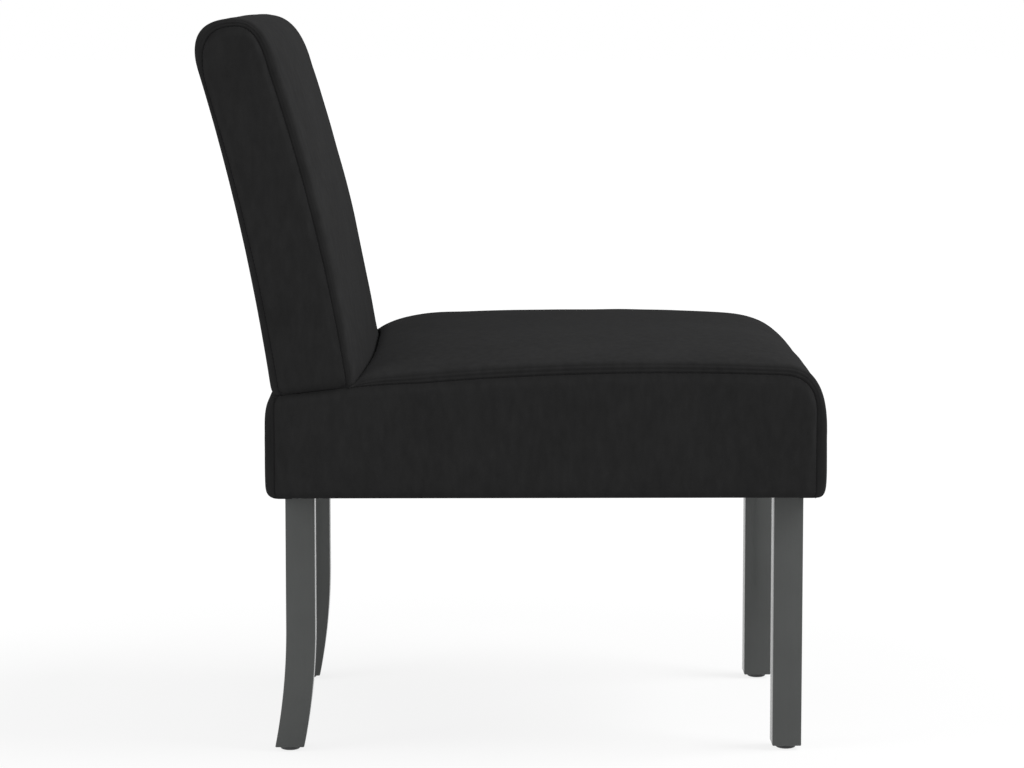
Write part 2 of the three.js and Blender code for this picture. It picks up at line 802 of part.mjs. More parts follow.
addSeatFrame();
addCornerBlocks();
addSeatWebbing();
addSeatCushion();
addLining();
addBackFrame();
addBackCushion();
addBackBolts();
addLegs();

// The origin is on the floor, under the middle of the chair's own box.
const box = new THREE.Box3().setFromObject(chair);
const middle = box.getCenter(new THREE.Vector3());
chair.position.set(-middle.x, -middle.y, -box.min.z);

export default chair;
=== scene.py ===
# Slipper chair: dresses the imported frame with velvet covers, foam, painted legs and their finishes.
import json
import math

import bmesh
import bpy
from bpy.props import FloatProperty, FloatVectorProperty, PointerProperty
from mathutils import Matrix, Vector, noise


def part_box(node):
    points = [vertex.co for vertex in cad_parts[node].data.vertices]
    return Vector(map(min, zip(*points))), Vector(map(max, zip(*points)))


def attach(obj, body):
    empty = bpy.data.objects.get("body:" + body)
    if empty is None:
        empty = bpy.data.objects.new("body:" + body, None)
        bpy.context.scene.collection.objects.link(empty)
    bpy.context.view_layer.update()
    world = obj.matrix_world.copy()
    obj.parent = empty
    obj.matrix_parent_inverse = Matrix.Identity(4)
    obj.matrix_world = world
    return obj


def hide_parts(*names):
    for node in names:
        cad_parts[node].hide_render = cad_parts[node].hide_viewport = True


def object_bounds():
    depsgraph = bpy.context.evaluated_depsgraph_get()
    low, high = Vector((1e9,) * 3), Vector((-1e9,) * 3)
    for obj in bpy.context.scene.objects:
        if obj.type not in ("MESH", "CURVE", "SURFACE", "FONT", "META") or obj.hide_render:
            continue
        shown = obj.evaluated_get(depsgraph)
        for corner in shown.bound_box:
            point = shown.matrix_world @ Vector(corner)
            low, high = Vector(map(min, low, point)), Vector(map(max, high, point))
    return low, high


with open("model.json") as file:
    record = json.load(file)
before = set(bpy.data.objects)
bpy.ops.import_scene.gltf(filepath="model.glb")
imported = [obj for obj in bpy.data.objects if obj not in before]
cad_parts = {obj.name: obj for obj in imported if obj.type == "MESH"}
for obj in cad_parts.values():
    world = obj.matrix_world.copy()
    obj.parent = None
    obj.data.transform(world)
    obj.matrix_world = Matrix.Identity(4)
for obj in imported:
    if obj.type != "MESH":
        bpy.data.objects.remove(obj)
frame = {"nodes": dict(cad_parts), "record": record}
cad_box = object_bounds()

bl_info = {
    "name": "Slipper Chair",
    "version": (1, 0, 0),
    "blender": (4, 5, 0),
    "location": "View3D > Sidebar > Chair",
    "description": "Covers, pads, legs and finishes of an armless upholstered chair",
    "category": "Object",
}

ENDS = ("front", "rear")
SIDES = {"right": -1, "left": 1}


def middle_of(node):
    low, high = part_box(node)
    return (low + high) / 2


def radius_of(node):
    low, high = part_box(node)
    return (high.x - low.x) / 2


def fixings_of(end, side):
    """The nodes of the bolt and the dowel in the top of one leg."""
    return [f"leg_{kind}_{end}_{side}" for kind in ("bolt", "dowel")]


# Places taken from the frame, in metres. X is the sitter's left, Y runs rearwards and Z up.
SEAT_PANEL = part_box("seat_side_panel_right")
BACK_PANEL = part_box("back_side_panel_right")
BAND_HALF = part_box("seat_cover")[1].x
PANEL_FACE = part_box("seat_side_panel_left")[1].x
UNDERSIDE = SEAT_PANEL[0].z
CHAIR_HEIGHT = cad_box[1].z
BACK_SEAM_TOP = BACK_PANEL[1].z

# The clearance between pieces, and the covers' thickness, rolled edges, hems and seams
GAP = 0.0003
COVER = 0.0016
ROLLED_EDGE = 0.0097
HEM = 0.018
SEAM_ALLOWANCE = 0.0034
PANEL_INNER = BAND_HALF + GAP

# How deep the foam starts under a cover's face, and what the back's foam is glued to
PADDING = 0.0024
STRAP = 0.0015
BOARD = 0.003
POST_REAR_INSET = 0.0095

# A glide's nail, the play and sides of a bore, and how far its cutter runs past the wood or cloth
NAIL_RADIUS = 0.0015
BORE_PLAY = 2 * GAP
BORE_SIDES = 24
OVERRUN = 0.01

# Side views below measure y rearwards from the front of the seat.
SEAT_FRONT = SEAT_PANEL[0].y - ROLLED_EDGE
SEAT_REAR_ROLL = 0.009
SEAT_DEPTH = SEAT_PANEL[1].y - SEAT_FRONT + SEAT_REAR_ROLL
SEAT_SEAM_HEIGHT = 0.3972
SEAT_CROWN_HEIGHT = 0.4274
FRONT_PUFF = 0.0016
REAR_PUFF = 0.0011

# The back stands on a joint that falls slightly to the rear; it leans back and bows forward.
FRONT_FOOT = BACK_PANEL[0].y - SEAT_FRONT
FOOT_DEPTH = 0.0685
REAR_FOOT = FRONT_FOOT + FOOT_DEPTH
JOINT_FALL = 0.008
JOINT_HEIGHT = BACK_PANEL[0].z - GAP + JOINT_FALL
BACK_LEAN = 0.088
BACK_REAR_LEAN = 0.085
BACK_BOW = 0.007
BACK_REAR_BOW = 0.006
BACK_CROWN = 0.0265
BACK_FRONT_ROLL = 0.0066
BACK_REAR_ROLL = 0.0076
BACK_REAR_CROWN = 0.0014
TOP_TILT = 0.0035
CREVICE_GAP = 0.0008
CREVICE_TURN_SHARE = 0.15


def joint_at(y):
    return JOINT_HEIGHT - JOINT_FALL * (y - FRONT_FOOT) / FOOT_DEPTH


def rise_at(z):
    return (z - JOINT_HEIGHT) / (BACK_SEAM_TOP - JOINT_HEIGHT)


def run_at(lean, bow, z):
    """How far a line up the back has run rearwards at a height."""
    rise = rise_at(z)
    return lean * rise - 4 * bow * rise * (1 - rise)


def smooth(share):
    share = min(1.0, max(0.0, share))
    return share * share * (3 - 2 * share)


# Sizes and colours that a user would change


class CoverSettings(bpy.types.PropertyGroup):
    cell: FloatProperty(
        name="Cell", default=0.008, unit="LENGTH",
        description="Side of a face of the cover before it is subdivided")
    crown_fullness: FloatProperty(
        name="Crown fullness", default=4, description="How late the crown falls away to the side seams")
    edge_tightness: FloatProperty(
        name="Edge tightness", default=4.6, description="How sharply the cover turns over the foam's edge")
    slack: FloatProperty(
        name="Slack", default=0.003, unit="LENGTH",
        description="How far inside its shape a cover starts before it is blown up")
    swell: FloatProperty(
        name="Swell", default=0.0018, unit="LENGTH",
        description="How far a blown cover may stand out from its shape, or in")
    pressure: FloatProperty(
        name="Pressure", default=4, description="Pressure of the filling against the cover")
    crease: FloatProperty(
        name="Crease", default=0.0005, unit="LENGTH",
        description="Depth of the creases that run beside the side seams")
    pucker: FloatProperty(
        name="Pucker", default=0.00045, unit="LENGTH",
        description="Height of the small gathers along the seams")
    wave: FloatProperty(
        name="Wave", default=0.0009, unit="LENGTH",
        description="Height of the broad unevenness of the padding")
    panel_border: FloatProperty(
        name="Panel border", default=0.0045, unit="LENGTH",
        description="Width over which a side panel swells from its seam")


class StitchSettings(bpy.types.PropertyGroup):
    pitch: FloatProperty(
        name="Pitch", default=0.0042, unit="LENGTH", description="Distance between stitches")
    length: FloatProperty(
        name="Length", default=0.0032, unit="LENGTH", description="Length of a stitch")
    thread: FloatProperty(
        name="Thread", default=0.00032, unit="LENGTH", description="Radius of the thread")


class UndersideSettings(bpy.types.PropertyGroup):
    cell: FloatProperty(
        name="Cell", default=0.009, unit="LENGTH", description="Side of a face of the dust cover")
    sag: FloatProperty(
        name="Sag", default=0.003, unit="LENGTH",
        description="How far the dust cover hangs at its middle")
    border: FloatProperty(
        name="Border", default=0.012, unit="LENGTH",
        description="Width of the dust cover's turned-in border")
    fold: FloatProperty(
        name="Fold", default=0.0004, unit="LENGTH",
        description="Thickness that the turned-in border adds")
    crease: FloatProperty(
        name="Crease", default=0.0005, unit="LENGTH",
        description="Depth of the soft creases across the dust cover")
    pucker: FloatProperty(
        name="Pucker", default=0.0006, unit="LENGTH",
        description="How far the cloth lifts between two staples")
    staple_pitch: FloatProperty(
        name="Staple pitch", default=0.028, unit="LENGTH",
        description="Distance between the dust cover's staples")
    staple_inset: FloatProperty(
        name="Staple inset", default=0.0035, unit="LENGTH",
        description="Distance of the staples from the dust cover's edge")
    staple_length: FloatProperty(
        name="Staple length", default=0.011, unit="LENGTH", description="Length of a staple's back")
    staple_wire: FloatProperty(
        name="Staple wire", default=0.0006, unit="LENGTH", description="Thickness of a staple's wire")


class LegSettings(bpy.types.PropertyGroup):
    edge: FloatProperty(
        name="Edge", default=0.0011, unit="LENGTH", description="Width of the eased edges of a leg")
    sweep_start: FloatProperty(
        name="Sweep start", default=0.13, unit="LENGTH",
        description="Height below which a rear leg sweeps back")
    sweep_radius: FloatProperty(
        name="Sweep radius", default=0.65, unit="LENGTH", description="Radius of a rear leg's sweep")
    glide_edge: FloatProperty(
        name="Glide edge", default=0.0035, unit="LENGTH",
        description="Width of the rounded rim round a glide's flat foot")
    glide_rise: FloatProperty(
        name="Glide rise", default=0.0022, unit="LENGTH",
        description="Height of the rounded rim round a glide's flat foot")


class FinishSettings(bpy.types.PropertyGroup):
    velvet: FloatVectorProperty(
        name="Velvet", default=(0.0250, 0.0250, 0.0252), size=3, subtype="COLOR",
        description="Colour of the pile")
    paint: FloatVectorProperty(
        name="Leg paint", default=(0.0715, 0.0750, 0.0733), size=3, subtype="COLOR",
        description="Colour of the painted legs")
    pine: FloatVectorProperty(
        name="Frame wood", default=(0.58, 0.39, 0.19), size=3, subtype="COLOR",
        description="Colour of the softwood frame")


class StageSettings(bpy.types.PropertyGroup):
    lens: FloatProperty(
        name="Lens", default=114.29, unit="CAMERA", description="Focal length of the camera")
    eye: FloatVectorProperty(
        name="Eye", default=(-3.4926, 0.0421, 0.7906), size=3, subtype="TRANSLATION", unit="LENGTH",
        description="Place of the camera")
    yaw: FloatProperty(
        name="Yaw", default=math.radians(-0.703), subtype="ANGLE",
        description="Turn of the camera away from the line across the chair")
    pitch: FloatProperty(
        name="Pitch", default=math.radians(5.951), subtype="ANGLE",
        description="Fall of the camera's view below level")
    shift: FloatProperty(
        name="Shift", default=-0.06,
        description="Upward shift of the lens, as a share of the picture's width")
    sky: FloatProperty(
        name="Sky", default=0.43, description="Strength of the even light from all round")
    key: FloatProperty(
        name="Key lamp", default=138, unit="POWER", description="Power of the lamp before the chair")
    fill: FloatProperty(
        name="Fill lamp", default=34, unit="POWER", description="Power of the lamp behind the chair")


# Nodes


def arithmetic(operation, swapped=False):
    """An overloaded operator that adds one Math node."""
    def add_node(self, other):
        values = (other, self) if swapped else (self, other)
        return self.tree.maths(operation, *values)

    return add_node


class Wire:
    """A socket of a node tree that can be used in sums with numbers and other sockets."""

    def __init__(self, tree, socket):
        self.tree, self.socket = tree, socket

    __add__, __radd__ = arithmetic("ADD"), arithmetic("ADD", swapped=True)
    __sub__, __rsub__ = arithmetic("SUBTRACT"), arithmetic("SUBTRACT", swapped=True)
    __mul__, __rmul__ = arithmetic("MULTIPLY"), arithmetic("MULTIPLY", swapped=True)
    __truediv__, __rtruediv__ = arithmetic("DIVIDE"), arithmetic("DIVIDE", swapped=True)


class Nodes:
    """A tree of nodes that is written as calls."""

    def __init__(self, tree):
        self.tree = tree
        tree.nodes.clear()

    def node(self, kind, values=None, output=0, **settings):
        """Adds a node, sets what it does, feeds its sockets and returns one of its outputs."""
        made = self.tree.nodes.new(kind)
        for name, value in settings.items():
            setattr(made, name, value)
        for name, value in (values or {}).items():
            if isinstance(value, Wire):
                self.tree.links.new(value.socket, made.inputs[name])
            else:
                made.inputs[name].default_value = value
        return Wire(self, made.outputs[output]) if len(made.outputs) else None

    def maths(self, operation, *values):
        return self.node("ShaderNodeMath", dict(enumerate(values)), operation=operation)

    def clamp(self, value):
        return self.node("ShaderNodeClamp", {"Value": value})

    def seen(self):
        """1 for what the camera sees, also in a mirror or through glass, and 0 for light on things."""
        rays = [
            self.node("ShaderNodeLightPath", output=f"Is {kind} Ray")
            for kind in ("Camera", "Glossy", "Transmission")
        ]
        return self.clamp(rays[0] + rays[1] + rays[2])


class Look(Nodes):
    """A material and the nodes that it is made of."""

    def __init__(self, name):
        self.material = bpy.data.materials.new(f"chair_{name}")
        self.material.use_nodes = True
        super().__init__(self.material.node_tree)

    def place(self, stretch=(1, 1, 1)):
        """Object coordinates, scaled along each axis."""
        coordinates = self.node("ShaderNodeTexCoord", output="Object")
        return self.node("ShaderNodeMapping", {"Vector": coordinates, "Scale": stretch})

    def noise(self, scale, detail=2, stretch=(1, 1, 1), distortion=0):
        return self.node("ShaderNodeTexNoise", {
            "Vector": self.place(stretch), "Scale": scale, "Detail": detail, "Distortion": distortion})

    def cells(self, scale):
        return self.node("ShaderNodeTexVoronoi", {"Vector": self.place(), "Scale": scale})

    def ribs(self, direction):
        """Close parallel ribs across one axis."""
        values = {"Vector": self.place(), "Scale": 160, "Distortion": 0.6, "Detail": 1}
        return self.node("ShaderNodeTexWave", values, "Fac", wave_type="BANDS", bands_direction=direction)

    def attribute(self, name):
        """A number that the piece's own points carry."""
        return self.node("ShaderNodeAttribute", output="Fac", attribute_name=name)

    def mix(self, share, low, high):
        """A colour between two colours."""
        low, high = ((*c, 1) if isinstance(c, tuple) else c for c in (low, high))
        return self.node("ShaderNodeMix", {0: share, 6: low, 7: high}, 2, data_type="RGBA")

    def surface(self, colour, roughness, relief, depth, strength, **constants):
        """Finishes the material with one shader, its colour, roughness and relief from the nodes.

        Constants are named as the shader's own sockets, with underscores for spaces.
        """
        bump = self.node("ShaderNodeBump", {"Height": relief, "Distance": depth, "Strength": strength})
        shader = self.node("ShaderNodeBsdfPrincipled", {
            "Base Color": colour, "Roughness": self.clamp(roughness), "Normal": bump,
            **{name.replace("_", " "): value for name, value in constants.items()}})
        self.node("ShaderNodeOutputMaterial", {"Surface": shader})


# Materials


def shade(colour, level):
    return tuple(min(1.0, channel * level) for channel in colour)


def velvet(settings):
    """Short matt pile: soft mottling, short upright streaks, fine tufts, and painted shade that darkens the
    pile along the seams and in the creases.
    """
    look = Look("velvet")
    mottle, streaks = look.noise(15, detail=3), look.noise(190, stretch=(1, 0.7, 0.28))
    tufts, weave = look.noise(1100), look.noise(420, stretch=(1, 1, 0.6))
    share = mottle * 0.5 + streaks * 0.8 + tufts * 0.4 - 0.35
    pile = look.mix(share, shade(settings.velvet, 0.76), shade(settings.velvet, 1.24))
    # Painted shade: the "seam" number darkens the pile towards a third of its colour in the seams' valleys
    # and the creases, where shade falls
    pile = look.mix(look.attribute("seam") * 0.22, pile, shade(settings.velvet, 0.3))
    look.surface(
        pile, 0.92 + (mottle - 0.5) * 0.1, tufts * 0.5 + weave * 0.7 + streaks * 0.3, 0.0003, 0.3,
        Specular_IOR_Level=0, Sheen_Weight=0.03, Sheen_Roughness=0.5, Sheen_Tint=(0.8, 0.8, 0.82, 1))


def painted_wood(settings):
    """Satin paint with a hint of grain under it, a little thin and pale along the edges."""
    look = Look("painted_wood")
    grain = look.noise(150, detail=4, stretch=(1, 1, 0.04), distortion=0.4)
    cloud, peel = look.noise(22), look.noise(900, detail=1)
    body = look.mix(grain * 0.7 + cloud * 0.4 - 0.05,
                    shade(settings.paint, 0.9), shade(settings.paint, 1.09))
    worn = look.mix(look.attribute("edge") * (0.15 + cloud * 0.4), body, shade(settings.paint, 1.5))
    look.surface(worn, 0.18 + grain * 0.1, grain * 0.6 + peel * 0.25, 0.0002, 0.5, Specular_IOR_Level=0.3)


def frame_wood(settings, along):
    """Planed softwood with its grain along one axis."""
    look = Look(f"frame_wood_{along}")
    drawn_out, spun_out = ([share if axis == along else 1 for axis in "xyz"] for share in (0.06, 0.03))
    rings = look.noise(70, detail=3, stretch=drawn_out, distortion=1.2)
    fibre = look.noise(900, detail=3, stretch=spun_out)
    lines = look.maths("SINE", rings * 46)
    body = look.mix(lines * 0.32 + 0.45 + fibre * 0.25 - 0.12,
                    shade(settings.pine, 0.78), shade(settings.pine, 1.18))
    look.surface(body, 0.6 + fibre * 0.25, fibre * 0.6 + lines * 0.15, 0.0003, 0.5)


def glide_plastic():
    look = Look("glide_plastic")
    cloud, grit, scuff = look.noise(180), look.noise(2200), look.noise(700, stretch=(0.2, 1, 1))
    body = look.mix(cloud * 0.6 + scuff * 0.3, (0.038, 0.040, 0.042), (0.062, 0.064, 0.066))
    look.surface(body, 0.36 + scuff * 0.25, grit, 0.00008, 0.5)


def board():
    """Brown hardboard with its fibres in a little relief."""
    look = Look("board")
    cloud, grit = look.noise(30, detail=3), look.noise(2400, detail=1)
    fibre = look.noise(500, detail=4, stretch=(1, 1, 0.4))
    body = look.mix(cloud * 0.4 + fibre * 0.6 - 0.02, (0.24, 0.16, 0.085), (0.46, 0.33, 0.19))
    look.surface(body, 0.66 + grit * 0.25, fibre * 0.5 + grit * 0.5, 0.0002, 0.5)


def foam():
    """Cream foam with open pores, a little yellow with age in places."""
    look = Look("foam")
    pores, age = look.cells(700), look.noise(9)
    body = look.mix(age * 0.7 + pores * 0.5 - 0.1, (0.79, 0.70, 0.48), (0.83, 0.77, 0.60))
    look.surface(body, 0.85 + pores * 0.2, pores, 0.0006, 0.7)


def webbing():
    """Elastic webbing: close ribs both ways, with a darker thread here and there."""
    look = Look("webbing")
    fluff = look.noise(800, detail=3)
    weave = look.clamp(look.ribs("X") * look.ribs("Y") + fluff * 0.3)
    body = look.mix(weave, (0.075, 0.056, 0.036), (0.21, 0.165, 0.11))
    look.surface(body, 0.75 + fluff * 0.2, weave, 0.0004, 0.8)


def lining():
    """Black spun-bonded cloth with a stamped dot pattern."""
    look = Look("lining")
    dots, cloud, fibres = look.cells(420), look.noise(14), look.noise(1500, detail=3, stretch=(1, 0.3, 1))
    body = look.mix(dots * 0.5 + fibres * 0.5 + cloud * 0.2 - 0.15,
                    (0.006, 0.006, 0.0065), (0.021, 0.021, 0.022))
    look.surface(body, 0.75 + fibres * 0.2, dots + fibres * 0.5, 0.0003, 0.6)


def zinc_steel():
    """Zinc-plated steel with pale and dull patches."""
    look = Look("zinc_steel")
    spangle, scratch = look.cells(300), look.noise(1200, detail=3, stretch=(1, 1, 0.1))
    body = look.mix(spangle * 0.7 + scratch * 0.3, (0.46, 0.49, 0.50), (0.62, 0.64, 0.65))
    look.surface(body, 0.28 + scratch * 0.25, scratch, 0.0001, 0.4, Metallic=1)


def thread():
    look = Look("thread")
    twist, cloud = look.noise(2600), look.noise(40, detail=1)
    body = look.mix(twist * 0.7 + cloud * 0.3, (0.009, 0.009, 0.0093), (0.021, 0.021, 0.0215))
    look.surface(body, 0.7 + twist * 0.2, twist, 0.0001, 0.6, Specular_IOR_Level=0.08)


GRAIN_AXES = {
    "x": ("seat_front_rail", "seat_rear_rail", "back_beam", "back_bottom_rail", "back_top_rail"),
    "y": ("seat_right_rail", "seat_left_rail"),
}


class CHAIR_OT_finishes(bpy.types.Operator):
    """Make the procedural finishes and give the frame's own nodes theirs"""
    bl_idname = "chair.finishes"
    bl_label = "Finishes"

    def execute(self, context):
        settings = context.scene.chair_finish
        for finish in (velvet, painted_wood):
            finish(settings)
        for finish in (glide_plastic, board, foam, webbing, lining, zinc_steel, thread):
            finish()
        for along in "xyz":
            frame_wood(settings, along)
        slots = {part["node"]: part["material_slot"] for part in frame["record"]["subparts"]}
        for name, node in frame["nodes"].items():
            along = next((axis for axis, names in GRAIN_AXES.items() if name in names), "z")
            paint(node, f"frame_wood_{along}" if slots[name] == "frame_wood" else slots[name])
        return {"FINISHED"}


def finish_named(name):
    return bpy.data.materials[f"chair_{name}"]


def paint(piece, name):
    piece.data.materials.clear()
    piece.data.materials.append(finish_named(name))


def belong(piece, slot, *nodes, finish=None):
    """Rides the piece on the chair, gives it its finish and hides the frame's nodes it stands for."""
    paint(piece, finish or slot)
    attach(piece, "root")
    if nodes:
        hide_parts(*nodes)


# Side views: runs of points


def bend(start, corner, end, steps):
    """The points of a smooth turn round a corner, without its start."""
    shares = [step / steps for step in range(1, steps + 1)]
    return [start.lerp(corner, share).lerp(corner.lerp(end, share), share) for share in shares]


def trace(corners):
    """An open run of side-view points through corners.

    The turn at a corner starts `before` it and ends `after` it, in `turn` steps, and the side that
    leads to a corner may bow outwards, to the left of the run.
    """
    at = [Vector((corner["y"], corner["z"])) for corner in corners]
    points = [at[0]]
    for i in range(1, len(corners)):
        corner = corners[i]
        before = corner.get("before", 0)
        start = points[-1]
        end = at[i] + (at[i - 1] - at[i]).normalized() * before
        along = end - start
        outward = Vector((-along.y, along.x)).normalized() * 2 * corner.get("bow", 0)
        points += bend(start, (start + end) / 2 + outward, end, corner["steps"])
        if before:
            after = at[i] + (at[i + 1] - at[i]).normalized() * corner["after"]
            points += bend(end, at[i], after, corner["turn"])
    return points


def corner_rows(corners):
    """For each corner of a traced run, the point at which the run is past it."""
    rows = [0]
    for corner in corners[1:]:
        rows.append(rows[-1] + corner["steps"] + corner.get("turn", 0))
    return rows


def inset(points, distance):
    """An open side-view run moved to its right, square to its sides."""
    moved = []
    for i, point in enumerate(points):
        along = points[min(i + 1, len(points) - 1)] - points[max(i - 1, 0)]
        moved.append(point + Vector((along.y, -along.x)).normalized() * distance)
    return moved


def resample(points, count):
    """Points at even steps along a run."""
    lengths = [0.0]
    for a, b in zip(points, points[1:]):
        lengths.append(lengths[-1] + (b - a).length)
    result, k = [], 0
    for step in range(count):
        goal = lengths[-1] * step / (count - 1)
        while k < len(points) - 2 and lengths[k + 1] < goal:
            k += 1
        share = (goal - lengths[k]) / (lengths[k + 1] - lengths[k])
        result.append(points[k].lerp(points[k + 1], min(1, share)))
    return result


def distance_to(run, point):
    nearest = 1.0
    for a, b in zip(run, run[1:] + run[:1]):
        along = b - a
        share = min(1, max(0, (point - a).dot(along) / along.length_squared))
        nearest = min(nearest, (point - a - along * share).length)
    return nearest


# Grids of points


def grid_of(rows, columns, value):
    """A grid of what `value` gives for each row and column."""
    return [[value(i, j) for j in range(columns)] for i in range(rows)]


def normals(grid):
    """The unit normal at each point of a grid, to the outside of a grid drawn right to left."""
    rows, columns = len(grid), len(grid[0])

    def normal(i, j):
        along = grid[min(i + 1, rows - 1)][j] - grid[max(i - 1, 0)][j]
        across = grid[i][min(j + 1, columns - 1)] - grid[i][max(j - 1, 0)]
        return along.cross(across).normalized()

    return grid_of(rows, columns, normal)


def raised(grid, height):
    """The grid moved outwards, each point by the height that is given for its row and column."""
    outward = normals(grid)
    return grid_of(len(grid), len(grid[0]), lambda i, j: grid[i][j] + outward[i][j] * height(i, j))


def patch(bottom, top, front, rear):
    """A grid of side-view points between four sides, rows from bottom to top, front to rear."""
    rows, columns = len(front), len(bottom)

    def place(i, j):
        u, v = j / (columns - 1), i / (rows - 1)
        across = bottom[j].lerp(top[j], v) + front[i].lerp(rear[i], u)
        return across - bottom[0].lerp(bottom[-1], u).lerp(top[0].lerp(top[-1], u), v)

    return grid_of(rows, columns, place)


def grid_faces(rows, columns, first=0):
    return [
        (first + i * columns + j, first + (i + 1) * columns + j,
         first + (i + 1) * columns + j + 1, first + i * columns + j + 1)
        for i in range(rows - 1) for j in range(columns - 1)
    ]


# Meshes


def shell(outer, inner):
    """Points and faces of one closed skin between two like grids."""
    rows, columns = len(outer), len(outer[0])
    size = rows * columns
    points = [point for grid in (outer, inner) for row in grid for point in row]
    faces = grid_faces(rows, columns) + [face[::-1] for face in grid_faces(rows, columns, size)]
    rim = list(range(columns))
    rim += [i * columns + columns - 1 for i in range(1, rows)]
    rim += [(rows - 1) * columns + j for j in range(columns - 2, -1, -1)]
    rim += [i * columns for i in range(rows - 2, 0, -1)]
    faces += [(b, a, size + a, size + b) for a, b in zip(rim, rim[1:] + rim[:1])]
    return points, faces


def body_through(loops):
    """Points and faces of one closed body through equal loops, with flat ends."""
    count = len(loops[0])
    points = [point for loop in loops for point in loop]
    faces = [
        (ring * count + i, ring * count + (i + 1) % count,
         (ring + 1) * count + (i + 1) % count, (ring + 1) * count + i)
        for ring in range(len(loops) - 1) for i in range(count)
    ]
    last = (len(loops) - 1) * count
    return points, faces + [tuple(range(count))[::-1], tuple(range(last, last + count))]


def circle(middle, radius, z, sides):
    """Points round an upright axis at one height."""
    turns = [2 * math.pi * side / sides for side in range(sides)]
    return [
        Vector((middle.x + radius * math.cos(turn), middle.y + radius * math.sin(turn), z))
        for turn in turns
    ]


def plain_mesh(name, points, faces, edges=()):
    mesh = bpy.data.meshes.new(name)
    mesh.from_pydata(points, edges, faces)
    return mesh


def in_scene(name, data):
    """An object that shows in the scene."""
    made = bpy.data.objects.new(name, data)
    bpy.context.scene.collection.objects.link(made)
    return made


def solid(name, points, faces, level=0):
    """A smooth-shaded object with its faces outwards."""
    mesh = plain_mesh(name, points, faces)
    body = bmesh.new()
    body.from_mesh(mesh)
    bmesh.ops.recalc_face_normals(body, faces=body.faces)
    body.to_mesh(mesh)
    body.free()
    mesh.shade_smooth()
    piece = in_scene(name, mesh)
    if level:
        finer = piece.modifiers.new("Subdivision", "SUBSURF")
        finer.levels = finer.render_levels = level
    return piece


def bake_modifiers(piece):
    """Turns what the piece's modifiers make into its plain mesh."""
    evaluated = piece.evaluated_get(bpy.context.evaluated_depsgraph_get())
    plain = bpy.data.meshes.new_from_object(evaluated)
    piece.modifiers.clear()
    piece.data = plain


def cut_away(piece, cutters):
    """Cuts each body out of the piece, and removes it."""
    for cutter in cutters:
        cut = piece.modifiers.new("Bore", "BOOLEAN")
        cut.operation, cut.object, cut.solver = "DIFFERENCE", cutter, "EXACT"
    bake_modifiers(piece)
    for cutter in cutters:
        bpy.data.objects.remove(cutter)


def bore(middle, radius, start, stop):
    """A cylinder on an upright axis, to cut with."""
    return solid("bore", *body_through([circle(middle, radius, z, BORE_SIDES) for z in (start, stop)]))


def smooth_by_angle(piece, angle=35):
    """Smooth shading, with the edges past an angle left sharp."""
    body = bmesh.new()
    body.from_mesh(piece.data)
    for edge in body.edges:
        edge.smooth = len(edge.link_faces) == 2 and edge.calc_face_angle(0) < math.radians(angle)
    for face in body.faces:
        face.smooth = True
    body.to_mesh(piece.data)
    body.free()


def mark(piece, name, values):
    """Writes a number for each of the first points of a mesh, which its finish reads."""
    attribute = piece.data.attributes.new(name, "FLOAT", "POINT")
    for point, value in zip(attribute.data, values):
        point.value = value


# Bodies that repeat along a run


